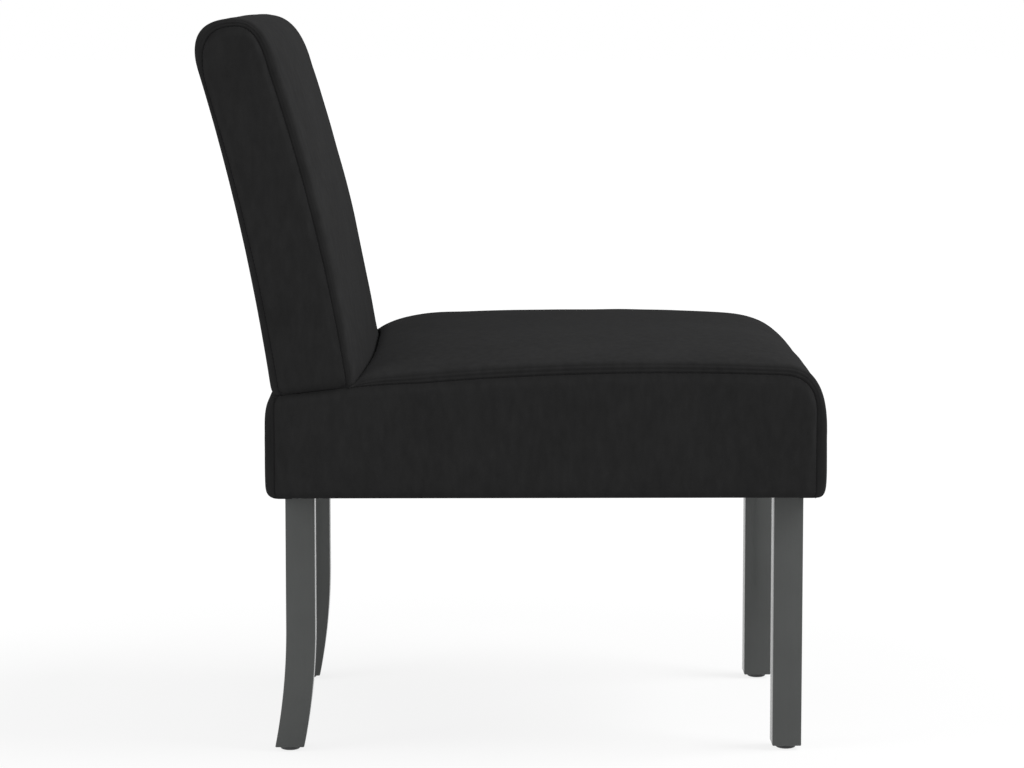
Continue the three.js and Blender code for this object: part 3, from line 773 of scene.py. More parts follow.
class Pattern(Nodes):
    """Geometry nodes that set a unit body along a run of edges at even steps."""

    INPUTS = {
        "Run": "Geometry", "Pitch": "Float", "Length": "Float", "Width": "Float", "Height": "Float",
        "Spread": "Float", "Skew": "Float", "Seed": "Int", "Body": "Object", "Finish": "Material",
    }

    def __init__(self, name, upright):
        super().__init__(bpy.data.node_groups.new(name, "GeometryNodeTree"))
        sockets = self.tree.interface
        for label, kind in self.INPUTS.items():
            sockets.new_socket(label, in_out="INPUT", socket_type=f"NodeSocket{kind}")
        sockets.new_socket("Result", in_out="OUTPUT", socket_type="NodeSocketGeometry")
        self.source = self.tree.nodes.new("NodeGroupInput")
        given = self.given
        run = self.node("GeometryNodeMeshToCurve", {"Mesh": given("Run")})
        steps = self.node("GeometryNodeResampleCurve", {"Curve": run, "Length": given("Pitch")},
                          mode="LENGTH")
        body = self.node("GeometryNodeObjectInfo", {"Object": given("Body")}, "Geometry")
        tangent = self.node("GeometryNodeInputTangent")
        along = self.node("FunctionNodeAlignRotationToVector", {"Vector": tangent},
                          axis="Y", pivot_axis=upright)
        skew = self.chance(given("Skew") * -1, given("Skew"), given("Seed"))
        turn = self.node("ShaderNodeCombineXYZ", {upright: skew})
        turn = self.node("FunctionNodeEulerToRotation", {"Euler": turn})
        turned = self.node("FunctionNodeRotateRotation", {"Rotation": along, "Rotate By": turn},
                           rotation_space="LOCAL")
        spread = self.chance(1 - given("Spread"), 1 + given("Spread"), given("Seed") + 1)
        size = self.node("ShaderNodeCombineXYZ", {
            "X": given("Width"), "Y": given("Length") * spread * 0.5, "Z": given("Height")})
        set_out = self.node("GeometryNodeInstanceOnPoints", {
            "Points": steps, "Instance": body, "Rotation": turned, "Scale": size})
        plain = self.node("GeometryNodeRealizeInstances", {"Geometry": set_out})
        painted = self.node("GeometryNodeSetMaterial", {"Geometry": plain, "Material": given("Finish")})
        self.node("NodeGroupOutput", {"Result": painted})

    def given(self, name):
        """One of the tree's named inputs."""
        return Wire(self, self.source.outputs[name])

    def chance(self, low, high, seed):
        """A random number for each point, always the same for a seed."""
        return self.node("FunctionNodeRandomValue", {2: low, 3: high, 8: seed}, 1, data_type="FLOAT")

    def set_out(self, name, runs, body, **values):
        """A plain mesh of the unit body, a mesh, set along open runs of points."""
        points, edges = [], []
        for run in runs:
            first = len(points)
            points += run
            edges += [(first + k, first + k + 1) for k in range(len(run) - 1)]
        piece = in_scene(name, plain_mesh(name, points, [], edges))
        unit = bpy.data.objects.new(body.name, body)
        modifier = piece.modifiers.new(name, "NODES")
        modifier.node_group = self.tree
        keys = {item.name: item.identifier for item in self.tree.interface.items_tree}
        for label, value in {**values, "Body": unit}.items():
            modifier[keys[label]] = value
        bake_modifiers(piece)
        bpy.data.objects.remove(unit)
        return piece


# The cushions' shapes: the side views of the side seams, of the rolled edges and of the crown


SEAT_FORMS = {
    "seam": dict(
        front=ROLLED_EDGE, top=SEAT_SEAM_HEIGHT, bow=0.0055, drop=0.038, run=0.038,
        crevice=FRONT_FOOT - CREVICE_GAP, slope=0.044, slope_top=0.0042,
        slope_run=0.030, slope_drop=0.036, meets=0.0004, rear=SEAT_DEPTH - SEAT_REAR_ROLL,
        hem_bend=0.003, front_bend=0.004, rear_bend=0.003, rear_drop=0.004, foot_bend=0.003),
    "roll": dict(
        front=-FRONT_PUFF, top=SEAT_SEAM_HEIGHT + ROLLED_EDGE, bow=0.008, drop=0.066, run=0.045,
        crevice=FRONT_FOOT - BACK_FRONT_ROLL - CREVICE_GAP, slope=0.0095, slope_top=0.011,
        slope_run=0.026, slope_drop=0.0105, meets=0.003, rear=SEAT_DEPTH + REAR_PUFF,
        hem_bend=0.008, front_bend=0.016, rear_bend=0.009, rear_drop=0.028, foot_bend=0.012),
    "crown": dict(
        front=-2 * FRONT_PUFF, top=SEAT_CROWN_HEIGHT, bow=0.001, drop=0.080, run=0.098,
        crevice=FRONT_FOOT - BACK_CROWN - CREVICE_GAP, slope=0.0205, slope_top=0.0437,
        slope_run=0.068, slope_drop=0.031, meets=0.019, rear=SEAT_DEPTH + 2 * REAR_PUFF,
        hem_bend=0.008, front_bend=0.016, rear_bend=0.009, rear_drop=0.028, foot_bend=0.012),
}


def seat_corners(form):
    """From the hem under the front rail, up the front, over the top, under the back, down the rear.

    The top slopes down to where it meets the back, at the height `meets`, and then follows the back down.
    """
    crevice, rear, meets = form["crevice"], form["rear"], form["meets"]
    turn = meets * CREVICE_TURN_SHARE
    return [
        dict(y=form["front"] + HEM, z=UNDERSIDE),
        dict(y=form["front"], z=UNDERSIDE, steps=3,
             before=form["hem_bend"], after=form["front_bend"], turn=4),
        dict(y=form["front"], z=form["top"], steps=10, before=form["drop"], after=form["run"], turn=16),
        dict(y=crevice - form["slope"], z=joint_at(crevice) + form["slope_top"], bow=form["bow"],
             steps=40, before=form["slope_run"], after=form["slope_drop"], turn=14),
        dict(y=crevice + run_at(BACK_LEAN, BACK_BOW, JOINT_HEIGHT + meets),
             z=joint_at(crevice) + meets, steps=1, before=turn, after=turn, turn=3),
        dict(y=crevice, z=joint_at(crevice), steps=3),
        dict(y=rear, z=joint_at(rear), steps=10, before=form["rear_bend"], after=form["rear_drop"], turn=5),
        dict(y=rear, z=UNDERSIDE, steps=9, before=form["foot_bend"], after=form["foot_bend"], turn=4),
        dict(y=rear - HEM, z=UNDERSIDE, steps=3),
    ]


BACK_FORMS = {
    "seam": dict(
        front_foot=FRONT_FOOT, front_top=BACK_SEAM_TOP, rear_top=BACK_SEAM_TOP, tilt=0,
        front_leg=0.045, top_leg=0.020, rear_foot=REAR_FOOT,
        rear_top_leg=0.043, rear_leg=0.060, front_bend=0.002, foot_bend=0.004),
    "roll": dict(
        front_foot=FRONT_FOOT - BACK_FRONT_ROLL, front_top=CHAIR_HEIGHT - 0.0045,
        rear_top=CHAIR_HEIGHT - 0.002, tilt=TOP_TILT,
        front_leg=0.052, top_leg=0.028, rear_foot=REAR_FOOT + BACK_REAR_ROLL,
        rear_top_leg=0.054, rear_leg=0.050, front_bend=0.003, foot_bend=0.008),
    "crown": dict(
        front_foot=FRONT_FOOT - BACK_CROWN, front_top=CHAIR_HEIGHT - 0.003,
        rear_top=CHAIR_HEIGHT + 0.001, tilt=TOP_TILT,
        front_leg=0.056, top_leg=0.036, rear_foot=REAR_FOOT + BACK_REAR_ROLL + BACK_REAR_CROWN,
        rear_top_leg=0.064, rear_leg=0.050, front_bend=0.006, foot_bend=0.012),
}


def back_corners(form):
    """From the hem under the bottom rail, up the front, over the top and down the rear."""
    front, rear = form["front_foot"], form["rear_foot"]
    front_top, rear_top = form["front_top"], form["rear_top"]
    return [
        dict(y=front + HEM, z=joint_at(front + HEM) + GAP),
        dict(y=front, z=joint_at(front) + GAP, steps=3,
             before=form["front_bend"], after=form["front_bend"], turn=5),
        dict(y=front + run_at(BACK_LEAN, BACK_BOW, front_top) - form["tilt"], z=front_top,
             bow=BACK_BOW * rise_at(front_top) ** 2, steps=40,
             before=form["front_leg"], after=form["top_leg"], turn=14),
        dict(y=rear + run_at(BACK_REAR_LEAN, BACK_REAR_BOW, rear_top) - form["tilt"], z=rear_top,
             steps=1, before=form["rear_top_leg"], after=form["rear_leg"], turn=16),
        dict(y=rear, z=joint_at(rear) + GAP, bow=-BACK_REAR_BOW * rise_at(rear_top) ** 2, steps=38,
             before=form["foot_bend"], after=form["foot_bend"], turn=4),
        dict(y=rear - HEM, z=joint_at(rear - HEM) + GAP, steps=3),
    ]


# Rows of the cushions' grids: at the front foot, in the crevice, under the back and at the rear foot
SEAT_ROWS = corner_rows(seat_corners(SEAT_FORMS["seam"]))
SEAT_FRONT_FOOT, SEAT_CREVICE, SEAT_REAR_FOOT = (SEAT_ROWS[corner] for corner in (1, 5, 7))
UNDER_BACK = range(SEAT_CREVICE - 6, SEAT_CREVICE + 11)
BACK_REAR_FOOT = corner_rows(back_corners(BACK_FORMS["seam"]))[4]

# The side seams run from a row in the turn at the front foot to one in the turn at the rear foot.
SEAM_START = 5
SEAT_SEAM = trace(seat_corners(SEAT_FORMS["seam"]))[SEAM_START:SEAT_REAR_FOOT - 2]
BACK_SEAM = trace(back_corners(BACK_FORMS["seam"]))[SEAM_START:BACK_REAR_FOOT - 1]

# How high the cover stands above its seam, column by column, as shares of the rolled edge
WALL_SHARES = (0, 0.12, 0.24, 0.36, 0.48, 0.60, 0.71, 0.81, 0.89, 0.945, 0.98, 0.996, 1)

# The columns of seam allowance before the wall, those of the wall that are pressed in as creases, the
# rows of a hem, and the width over which it comes to close its corner
ALLOWANCE_COLUMNS = 2
CREASED_COLUMNS = (3, 6)
HEM_ROWS = 3
CORNER_BLEND = HEM / 3

# How far the cover puffs up beside a crease and how much painted shade darkens the pile in it, against a
# whole crease and the seam, and how high on the wall the painted shade of the seam ends
CREASE_PUFF_SHARE = 0.5
CREASE_SHADE_SHARE = 0.5
SEAM_SHADE_SHARE = 0.25

# How far from a held point the cover is quite free
FREE_REACH = 0.03

# Bumps and gathers to a metre, how far from the side the gathers lie, and how soon freedom lets them be
BROAD_BUMPS = 11
FINE_BUMPS = 27
FINE_SHARE = 0.5
GATHERS = 62
GATHER_PLACE = 0.014
GATHER_WIDTH = 0.012
GATHER_FREEDOM = 6

# The cover as cloth, and how long it is blown up
CLOTH_FRAMES = 20
CLOTH = dict(
    quality=6, mass=0.3, tension_stiffness=6, compression_stiffness=6, shear_stiffness=2,
    bending_stiffness=0.3)


def places_across(settings):
    """(place across, share of the edge, share of the crown) from the left seam to the right one.

    The cover stands up steeply from its seam and turns over the foam's edge in a tight bend.
    """
    flat = BAND_HALF - ROLLED_EDGE
    tight = settings.edge_tightness
    half = [
        (BAND_HALF - ROLLED_EDGE * (1 - (1 - share ** tight) ** (1 / tight)), share)
        for share in WALL_SHARES
    ]
    count = round(flat / settings.cell)
    half += [(flat * (1 - step / count), 1.0) for step in range(1, count + 1)]
    both = half + [(-x, edge) for x, edge in half[-2::-1]]
    return [(x, edge, 1 - (abs(x) / BAND_HALF) ** settings.crown_fullness) for x, edge in both]


def from_seam(j, columns):
    """How many columns of a band lie between a column and the nearer side seam."""
    return min(j, columns - 1 - j) - ALLOWANCE_COLUMNS


def corner_fold(x):
    """1 where the hem reaches on to close the corner beside a side panel's flap, and 0 elsewhere."""
    return 1 - smooth((BAND_HALF - HEM - abs(x)) / CORNER_BLEND)


def cushion_grid(forms, corners, settings):
    """The outside of a cushion's band: rows along its outline and columns across the chair.

    The first and last columns are the seam allowance, turned in beside the side panel.
    """
    seam, roll, crown = (trace(corners(forms[name])) for name in ("seam", "roll", "crown"))
    turned_in = [inset(seam, SEAM_ALLOWANCE), inset(seam, SEAM_ALLOWANCE / 3)]
    grid = []
    for i, edge in enumerate(seam):
        hem = max(0, 1 - min(i, len(seam) - 1 - i) / HEM_ROWS)
        row = []
        for x, rolled, crowned in places_across(settings):
            place = edge.lerp(roll[i], rolled) + (crown[i] - roll[i]) * crowned
            row.append((x, place.lerp(edge, corner_fold(x) * hem)))
        left = [(BAND_HALF, run[i]) for run in turned_in]
        right = [(-x, place) for x, place in reversed(left)]
        grid.append([Vector((x, place.x + SEAT_FRONT, place.y)) for x, place in left + row + right])
    return grid


def freedom(grid, held_rows):
    """How free each point of a band is to move: none at its seams and at the rows that are held."""
    columns = len(grid[0])

    def free(i, j):
        if i in held_rows or from_seam(j, columns) < 1:
            return 0.0
        away = [abs(BAND_HALF - abs(grid[i][j].x))]
        away += [(grid[i][j] - grid[k][j]).length for k in held_rows]
        return smooth(min(away) / FREE_REACH)

    return grid_of(len(grid), columns, free)


def inflate(grid, free, hold, settings):
    """The grid blown up as cloth from a slightly smaller shape.

    Points that are 0 in `free` are held fast, and the others softly, by the share `hold`, as glued
    wadding holds a cover. What is kept is how far each point then stands out or in.
    """
    columns = len(grid[0])
    start = raised(grid, lambda i, j: -settings.slack * free[i][j])
    mesh = plain_mesh("blown", [point for row in start for point in row], grid_faces(len(grid), columns))
    cloth = in_scene("blown", mesh)
    held = cloth.vertex_groups.new(name="held")
    for k in range(len(mesh.vertices)):
        held.add([k], hold if free[k // columns][k % columns] else 1, "REPLACE")
    modifier = cloth.modifiers.new("Cloth", "CLOTH")
    fabric = modifier.settings
    fabric.vertex_group_mass = "held"
    for name, value in CLOTH.items():
        setattr(fabric, name, value)
    fabric.use_pressure = True
    fabric.uniform_pressure_force = settings.pressure
    fabric.effector_weights.gravity = 0
    modifier.collision_settings.use_collision = False
    modifier.point_cache.frame_start, modifier.point_cache.frame_end = 1, CLOTH_FRAMES
    for number in range(1, CLOTH_FRAMES + 1):
        bpy.context.scene.frame_set(number)
    blown = cloth.evaluated_get(bpy.context.evaluated_depsgraph_get())
    ends = [vertex.co.copy() for vertex in blown.data.vertices]
    bpy.data.objects.remove(cloth)
    bpy.data.meshes.remove(mesh)
    bpy.context.scene.frame_set(1)
    outward = normals(grid)

    def stands_out(i, j):
        most = settings.swell * free[i][j]
        reached = (ends[i * columns + j] - grid[i][j]).dot(outward[i][j])
        return most * math.tanh(reached / most) if most else 0

    return raised(grid, stands_out)


def fill_unevenly(grid, free, settings, seed):
    """Broad unevenness of the padding, and small gathers beside the side seams."""
    def height(i, j):
        point = grid[i][j]
        broad = noise.noise(point * BROAD_BUMPS + Vector((seed, 0, 0)))
        broad += FINE_SHARE * noise.noise(point * FINE_BUMPS)
        away = (BAND_HALF - abs(point.x) - GATHER_PLACE) / GATHER_WIDTH
        gather = noise.noise(Vector((seed, point.y, point.z)) * GATHERS) * math.exp(-away ** 2)
        gathered = settings.pucker * gather * min(1, free[i][j] * GATHER_FREEDOM)
        return settings.wave * broad * free[i][j] + gathered

    return raised(grid, height)


def crease_edge(grid, settings):
    """Presses creases along the wall beside each side seam, where the band faces up."""
    outward = normals(grid)
    columns = len(grid[0])

    def height(i, j):
        up = max(0, outward[i][columns // 2].z)
        place = from_seam(j, columns)
        if place in CREASED_COLUMNS:
            return -settings.crease * up
        return settings.crease * up * CREASE_PUFF_SHARE if 0 < place < CREASED_COLUMNS[-1] else 0

    return raised(grid, height)


def band_shade(grid):
    """How much painted shade darkens the pile beside the seams and in the creases, for each point of a
    band.
    """
    columns = len(grid[0])
    row = []
    for j in range(columns):
        place = min(max(0, from_seam(j, columns)), len(WALL_SHARES) - 1)
        # Painted shade in the pressed-in creases, added to the painted shade at the seam
        crease = CREASE_SHADE_SHARE if place in CREASED_COLUMNS else 0
        row.append(1 - smooth(WALL_SHARES[place] / SEAM_SHADE_SHARE) + crease)
    return row * len(grid)


def band(name, node, forms, corners, settings, held_rows, hold, seed):
    """Builds a cushion's band over front, top and rear, and returns its outside grid."""
    grid = cushion_grid(forms, corners, settings)
    free = freedom(grid, [row % len(grid) for row in held_rows])
    grid = inflate(grid, free, hold, settings)
    grid = crease_edge(fill_unevenly(grid, free, settings, seed), settings)
    piece = solid(name, *shell(grid, raised(grid, lambda i, j: -COVER)), level=1)
    # The pile's painted shade beside the seams and in the creases
    mark(piece, "seam", band_shade(grid))
    belong(piece, "velvet", node)
    return grid


# Side panels


# How far the rows of a panel's flap lie under the cushion, how softly a panel is held, how free its
# middle is, and how wide the painted shade on its pile reaches from the seam
FLAP_DEPTHS = (HEM, HEM / 2, 0)
PANEL_HOLD = 0.2
PANEL_FREE_SHARE = 0.5
SEAM_SHADE_WIDTH = 0.003


def panel_grids(side, outline, settings, corners, columns, rows, underside_at):
    """The outside and inside grids of a side panel on one side, with the flap turned in under it,
    and how much painted shade darkens its pile beside the seam.

    `corners` are the outline's indices where its front ends and where its rear starts.
    """
    front = resample(outline[:corners[0] + 1], rows)
    top = resample(outline[corners[0]:corners[1] + 1], columns)
    rear = resample(outline[corners[1]:][::-1], rows)
    bottom = resample([front[0], rear[0]], columns)
    outer, inner, seam_shade = [], [], []
    flap_start, flap_end = bottom[0].x + HEM + GAP, bottom[-1].x - HEM - GAP
    flap = [flap_start + (flap_end - flap_start) * j / (columns - 1) for j in range(columns)]
    for depth in FLAP_DEPTHS:
        x = side * (BAND_HALF + GAP / 2 - depth)
        outer.append([Vector((x, y + SEAT_FRONT, underside_at(y))) for y in flap])
        inner.append([Vector((x, y + SEAT_FRONT, underside_at(y) + COVER)) for y in flap])
        seam_shade += [0.0] * columns
    for row in patch(bottom, top, front, rear):
        away = [min(1, distance_to(outline, place) / settings.panel_border) for place in row]
        swells = [math.sqrt(1 - (1 - share) ** 2) for share in away]
        outer.append([
            Vector((side * (PANEL_INNER + GAP + (PANEL_FACE - PANEL_INNER - GAP) * swell),
                    place.x + SEAT_FRONT, place.y))
            for place, swell in zip(row, swells)
        ])
        inner.append([Vector((side * PANEL_INNER, place.x + SEAT_FRONT, place.y)) for place in row])
        # Painted shade: the pile darkens within a few millimetres of the seam, where the seam's valley lies
        # in shade
        seam_shade += [1 - smooth(share * settings.panel_border / SEAM_SHADE_WIDTH) for share in away]
    return outer, inner, seam_shade


def side_panels(cushion, outline, settings, corners, columns, rows, underside_at):
    """Builds the padded panel on each side of a cushion."""
    for name, side in SIDES.items():
        outer, inner, seam_shade = panel_grids(side, outline, settings, corners, columns, rows, underside_at)

        def free(i, j):
            if i <= len(FLAP_DEPTHS) or i == len(outer) - 1 or j in (0, columns - 1):
                return 0.0
            swell = (abs(outer[i][j].x) - PANEL_INNER) / (PANEL_FACE - PANEL_INNER)
            return smooth(swell * 2 - 1) * PANEL_FREE_SHARE

        # In this order of columns the grid's normals point out of the chair.
        outwards = slice(None, None, -side)
        turned = [row[outwards] for row in outer]
        freed = [row[outwards] for row in grid_of(len(outer), columns, free)]
        blown = [row[outwards] for row in inflate(turned, freed, PANEL_HOLD, settings)]
        piece = solid(f"{cushion}_panel_{name}", *shell(blown, inner), level=1)
        # The panel's painted shade beside its seam
        mark(piece, "seam", seam_shade)
        belong(piece, "velvet", f"{cushion}_side_panel_{name}")


# Pads


# The least step between two loops of a pad, and the steps up the back's board and down its front
LEAST_STEP = 1e-4
BOARD_STEPS = 12


def pad(name, node, grid, first, last, inner):
    """Builds a foam body between the band's inside and what it is glued to.

    `inner` is the side view of the glued face, drawn backwards.
    """
    outer = raised(grid, lambda i, j: -PADDING)
    loops = []
    for j in range(ALLOWANCE_COLUMNS, len(grid[0]) - ALLOWANCE_COLUMNS):
        column = [outer[i][j] for i in range(first, last + 1)]
        x = max(-BAND_HALF + PADDING, min(BAND_HALF - PADDING, column[0].x))
        if not loops or abs(loops[-1][0].x - x) > LEAST_STEP:
            loop = [Vector((x, point.y, point.z)) for point in column]
            loops.append(loop + [Vector((x, y + SEAT_FRONT, z)) for y, z in inner])
    piece = solid(name, *body_through(loops))
    belong(piece, "foam", node)


class CHAIR_OT_seat_cushion(bpy.types.Operator):
    """Build the seat's cover, side panels and foam"""
    bl_idname = "chair.seat_cushion"
    bl_label = "Seat Cushion"

    def execute(self, context):
        settings = context.scene.chair_cover
        grid = band("seat_band", "seat_cover", SEAT_FORMS, seat_corners, settings,
                    held_rows=[*range(4), *UNDER_BACK, *range(-4, 0)], hold=0.15, seed=3)
        side_panels("seat", SEAT_SEAM, settings, corners=(12, len(SEAT_SEAM) - 10), columns=72, rows=18,
                    underside_at=lambda y: UNDERSIDE)
        beam_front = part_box("back_beam")[0].y - SEAT_FRONT - GAP
        rail_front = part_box("seat_front_rail")[0].y - SEAT_FRONT - GAP
        rail_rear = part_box("seat_rear_rail")[1].y - SEAT_FRONT + GAP
        frame_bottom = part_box("seat_front_rail")[0].z
        straps = ("seat_long_strap_right", "seat_cross_strap_1")
        straps_top = max(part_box(strap)[1].z for strap in straps) + GAP
        pad("seat_pad", "seat_foam", grid, SEAT_FRONT_FOOT, SEAT_CREVICE, [
            (beam_front, joint_at(beam_front) - PADDING), (beam_front, straps_top),
            (rail_front, straps_top), (rail_front, frame_bottom)])
        pad("seat_rear_pad", "seat_rear_padding", grid, UNDER_BACK.stop, SEAT_REAR_FOOT - 1, [
            (rail_rear, frame_bottom), (rail_rear, joint_at(rail_rear) - PADDING)])
        return {"FINISHED"}


class CHAIR_OT_back_cushion(bpy.types.Operator):
    """Build the back's cover, side panels and foam"""
    bl_idname = "chair.back_cushion"
    bl_label = "Back Cushion"

    def execute(self, context):
        settings = context.scene.chair_cover
        grid = band("back_band", "back_cover", BACK_FORMS, back_corners, settings,
                    held_rows=[*range(6), *range(-5, 0)], hold=0.2, seed=7)
        side_panels("back", BACK_SEAM, settings, corners=(50, 68), columns=12, rows=52,
                    underside_at=lambda y: joint_at(y) + GAP)
        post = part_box("back_post_right")
        front_inset = post[0].y - SEAT_FRONT - FRONT_FOOT - run_at(BACK_LEAN, BACK_BOW, post[0].z)
        on_straps = front_inset - STRAP - 2 * GAP
        on_board = POST_REAR_INSET - BOARD - 2 * GAP
        board_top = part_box("back_board")[1].z + GAP
        over_frame = post[1].z + GAP

        def front_at(z):
            return FRONT_FOOT + run_at(BACK_LEAN, BACK_BOW, z) + on_straps, z

        def rear_at(z, inset_by):
            return REAR_FOOT + run_at(BACK_REAR_LEAN, BACK_REAR_BOW, z) - inset_by

        foot = JOINT_HEIGHT - JOINT_FALL + PADDING
        steps = [step / BOARD_STEPS for step in range(BOARD_STEPS + 1)]
        up_board = [foot + (board_top - foot) * share for share in steps]
        down_front = [over_frame + (JOINT_HEIGHT + PADDING - over_frame) * share for share in steps]
        pad("back_pad", "back_foam", grid, SEAM_START, BACK_REAR_FOOT - 1, [
            *((rear_at(z, on_board), z) for z in up_board),
            (rear_at(board_top - GAP, POST_REAR_INSET - GAP), board_top),
            (rear_at(over_frame, POST_REAR_INSET - GAP), over_frame),
            *(front_at(z) for z in down_front)])
        return {"FINISHED"}


# Seams


STITCH_SIDES, STITCH_RINGS = 6, 5


class CHAIR_OT_seam_stitches(bpy.types.Operator):
    """Set the thread's stitches in the valley of each side seam"""
    bl_idname = "chair.seam_stitches"
    bl_label = "Seam Stitches"

    def execute(self, context):
        settings = context.scene.chair_stitches
        runs = [
            [Vector((side * (PANEL_INNER + GAP), point.x + SEAT_FRONT, point.y))
             for point in inset(seam, -settings.thread / 2)]
            for seam in (SEAT_SEAM, BACK_SEAM) for side in SIDES.values()
        ]
        stitches = Pattern("stitch run", "X").set_out(
            "seam_stitches", runs, self.stitch(), Pitch=settings.pitch, Length=settings.length,
            Width=settings.thread, Height=settings.thread, Spread=0.08, Skew=0.12, Seed=5,
            Finish=finish_named("thread"))
        belong(stitches, "velvet", finish="thread")
        return {"FINISHED"}

    @staticmethod
    def stitch():
        mesh = bpy.data.meshes.new("stitch")
        body = bmesh.new()
        bmesh.ops.create_uvsphere(body, u_segments=STITCH_SIDES, v_segments=STITCH_RINGS, radius=1)
        body.to_mesh(mesh)
        body.free()
        mesh.shade_smooth()
        return mesh


# Underside


# The steps across the dust cover's border and past its fold, the width over which the cloth comes
# free beside it, and how far in the lift between two staples reaches
BORDER_STEP = 0.004
FOLD_STEP = 0.0015
FREE_WIDTH = 0.05
LIFT_REACH = 0.012

# The left legs' bolts, which the right legs' mirror, how near one the cloth lies flat, over how much
# more it comes free, and creases to a metre
LEFT_BOLTS = [middle_of(f"leg_bolt_{end}_left").xy for end in ENDS]
FLAT_AT_BOLT = 0.02
FREE_PAST_BOLT = 0.04
CREASES = 16

# Side view of a staple, across in half lengths and up in wire thicknesses
STAPLE_SHARES = (
    (-1, 2.5), (-1, 0.35), (-0.93, 0), (0.93, 0), (1, 0.35), (1, 2.5),
    (0.89, 2.5), (0.89, 1), (-0.89, 1), (-0.89, 2.5),
)


class CHAIR_OT_dust_cover(bpy.types.Operator):
    """Build the dust cover with its turned-in border, cut round the legs' fixings, and its staples"""
    bl_idname = "chair.dust_cover"
    bl_label = "Dust Cover"

    def execute(self, context):
        settings = context.scene.chair_underside
        low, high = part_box("dust_cover")
        width, depth = high.x - low.x, high.y - low.y
        across, along = self.places(width, settings), self.places(depth, settings)
        drops = grid_of(len(along), len(across), lambda i, j: self.drop(
            across[j], along[i], width, depth, low, settings))
        cloth = [
            grid_of(len(along), len(across), lambda i, j: Vector((
                low.x + across[j], low.y + along[i], z - drops[i][j][0] - folded * drops[i][j][1])))
            for z, folded in ((low.z, 1), (high.z, 0))
        ]
        piece = solid("dust_cover_cloth", *shell(*cloth))
        cut_away(piece, [
            bore(middle_of(node), radius_of(node) + BORE_PLAY, low.z - OVERRUN, high.z + OVERRUN)
            for end in ENDS for side in SIDES for node in fixings_of(end, side)
        ])
        smooth_by_angle(piece)
        belong(piece, "lining", "dust_cover")
        self.staples(settings, low, high)
        return {"FINISHED"}

    @staticmethod
    def drop(across, along, width, depth, low, settings):
        """How far the cloth hangs at a place, and how much thicker its border makes it there."""
        edge = min(across, width - across, along, depth - along)
        place = Vector((low.x + across, low.y + along))
        slack = (1 - (2 * across / width - 1) ** 2) * (1 - (2 * along / depth - 1) ** 2)
        held = smooth((edge - settings.border) / FREE_WIDTH)
        near_bolt = min((Vector((abs(place.x), place.y)) - bolt).length for bolt in LEFT_BOLTS)
        sag = settings.sag * slack * held * smooth((near_bolt - FLAT_AT_BOLT) / FREE_PAST_BOLT)
        crease = settings.crease * noise.noise(Vector((place.x * CREASES, place.y * CREASES, 2))) * held
        beside = along if edge in (across, width - across) else across
        lift = abs(math.sin(math.pi * beside / settings.staple_pitch)) * math.exp(-edge / LIFT_REACH)
        pull = settings.pucker * lift * smooth(edge / BORDER_STEP)
        fold = settings.fold * (1 - smooth((edge - settings.border) / FOLD_STEP))
        return sag + max(0, crease) * slack + pull, fold

    @staticmethod
    def places(length, settings):
        """Places along one side: both edges of the turned-in border, and even steps between."""
        border = [0, BORDER_STEP, 2 * BORDER_STEP, settings.border, settings.border + FOLD_STEP]
        count = round((length - 2 * border[-1]) / settings.cell)
        step = (length - 2 * border[-1]) / count
        inner = [border[-1] + step * k for k in range(1, count)]
        return border + inner + [length - place for place in reversed(border)]

    @staticmethod
    def staples(settings, low, high):
        edge, wire = settings.staple_inset, settings.staple_wire
        z = low.z - settings.fold - wire
        corners = [Vector((x, y, z)) for x, y in (
            (low.x + edge, low.y + edge), (high.x - edge, low.y + edge),
            (high.x - edge, high.y - edge), (low.x + edge, high.y - edge))]
        runs = []
        for start, end in zip(corners, corners[1:] + corners[:1]):
            short = (end - start).normalized() * settings.staple_pitch / 2
            runs.append([start + short, end - short])
        loops = [[Vector((x, y, z)) for y, z in STAPLE_SHARES] for x in (-1, 1)]
        staples = Pattern("staple run", "Z").set_out(
            "dust_cover_staples", runs, plain_mesh("staple", *body_through(loops)),
            Pitch=settings.staple_pitch, Length=settings.staple_length, Width=wire, Height=wire,
            Spread=0, Skew=0.09, Seed=11, Finish=finish_named("zinc_steel"))
        belong(staples, "zinc_steel")


# Legs


# The steps down a rear leg's sweep and round an eased edge, and the least turn that counts as an edge
SWEEP_STEPS = 24
EASE_STEPS = 3
LEAST_EDGE = math.radians(30)


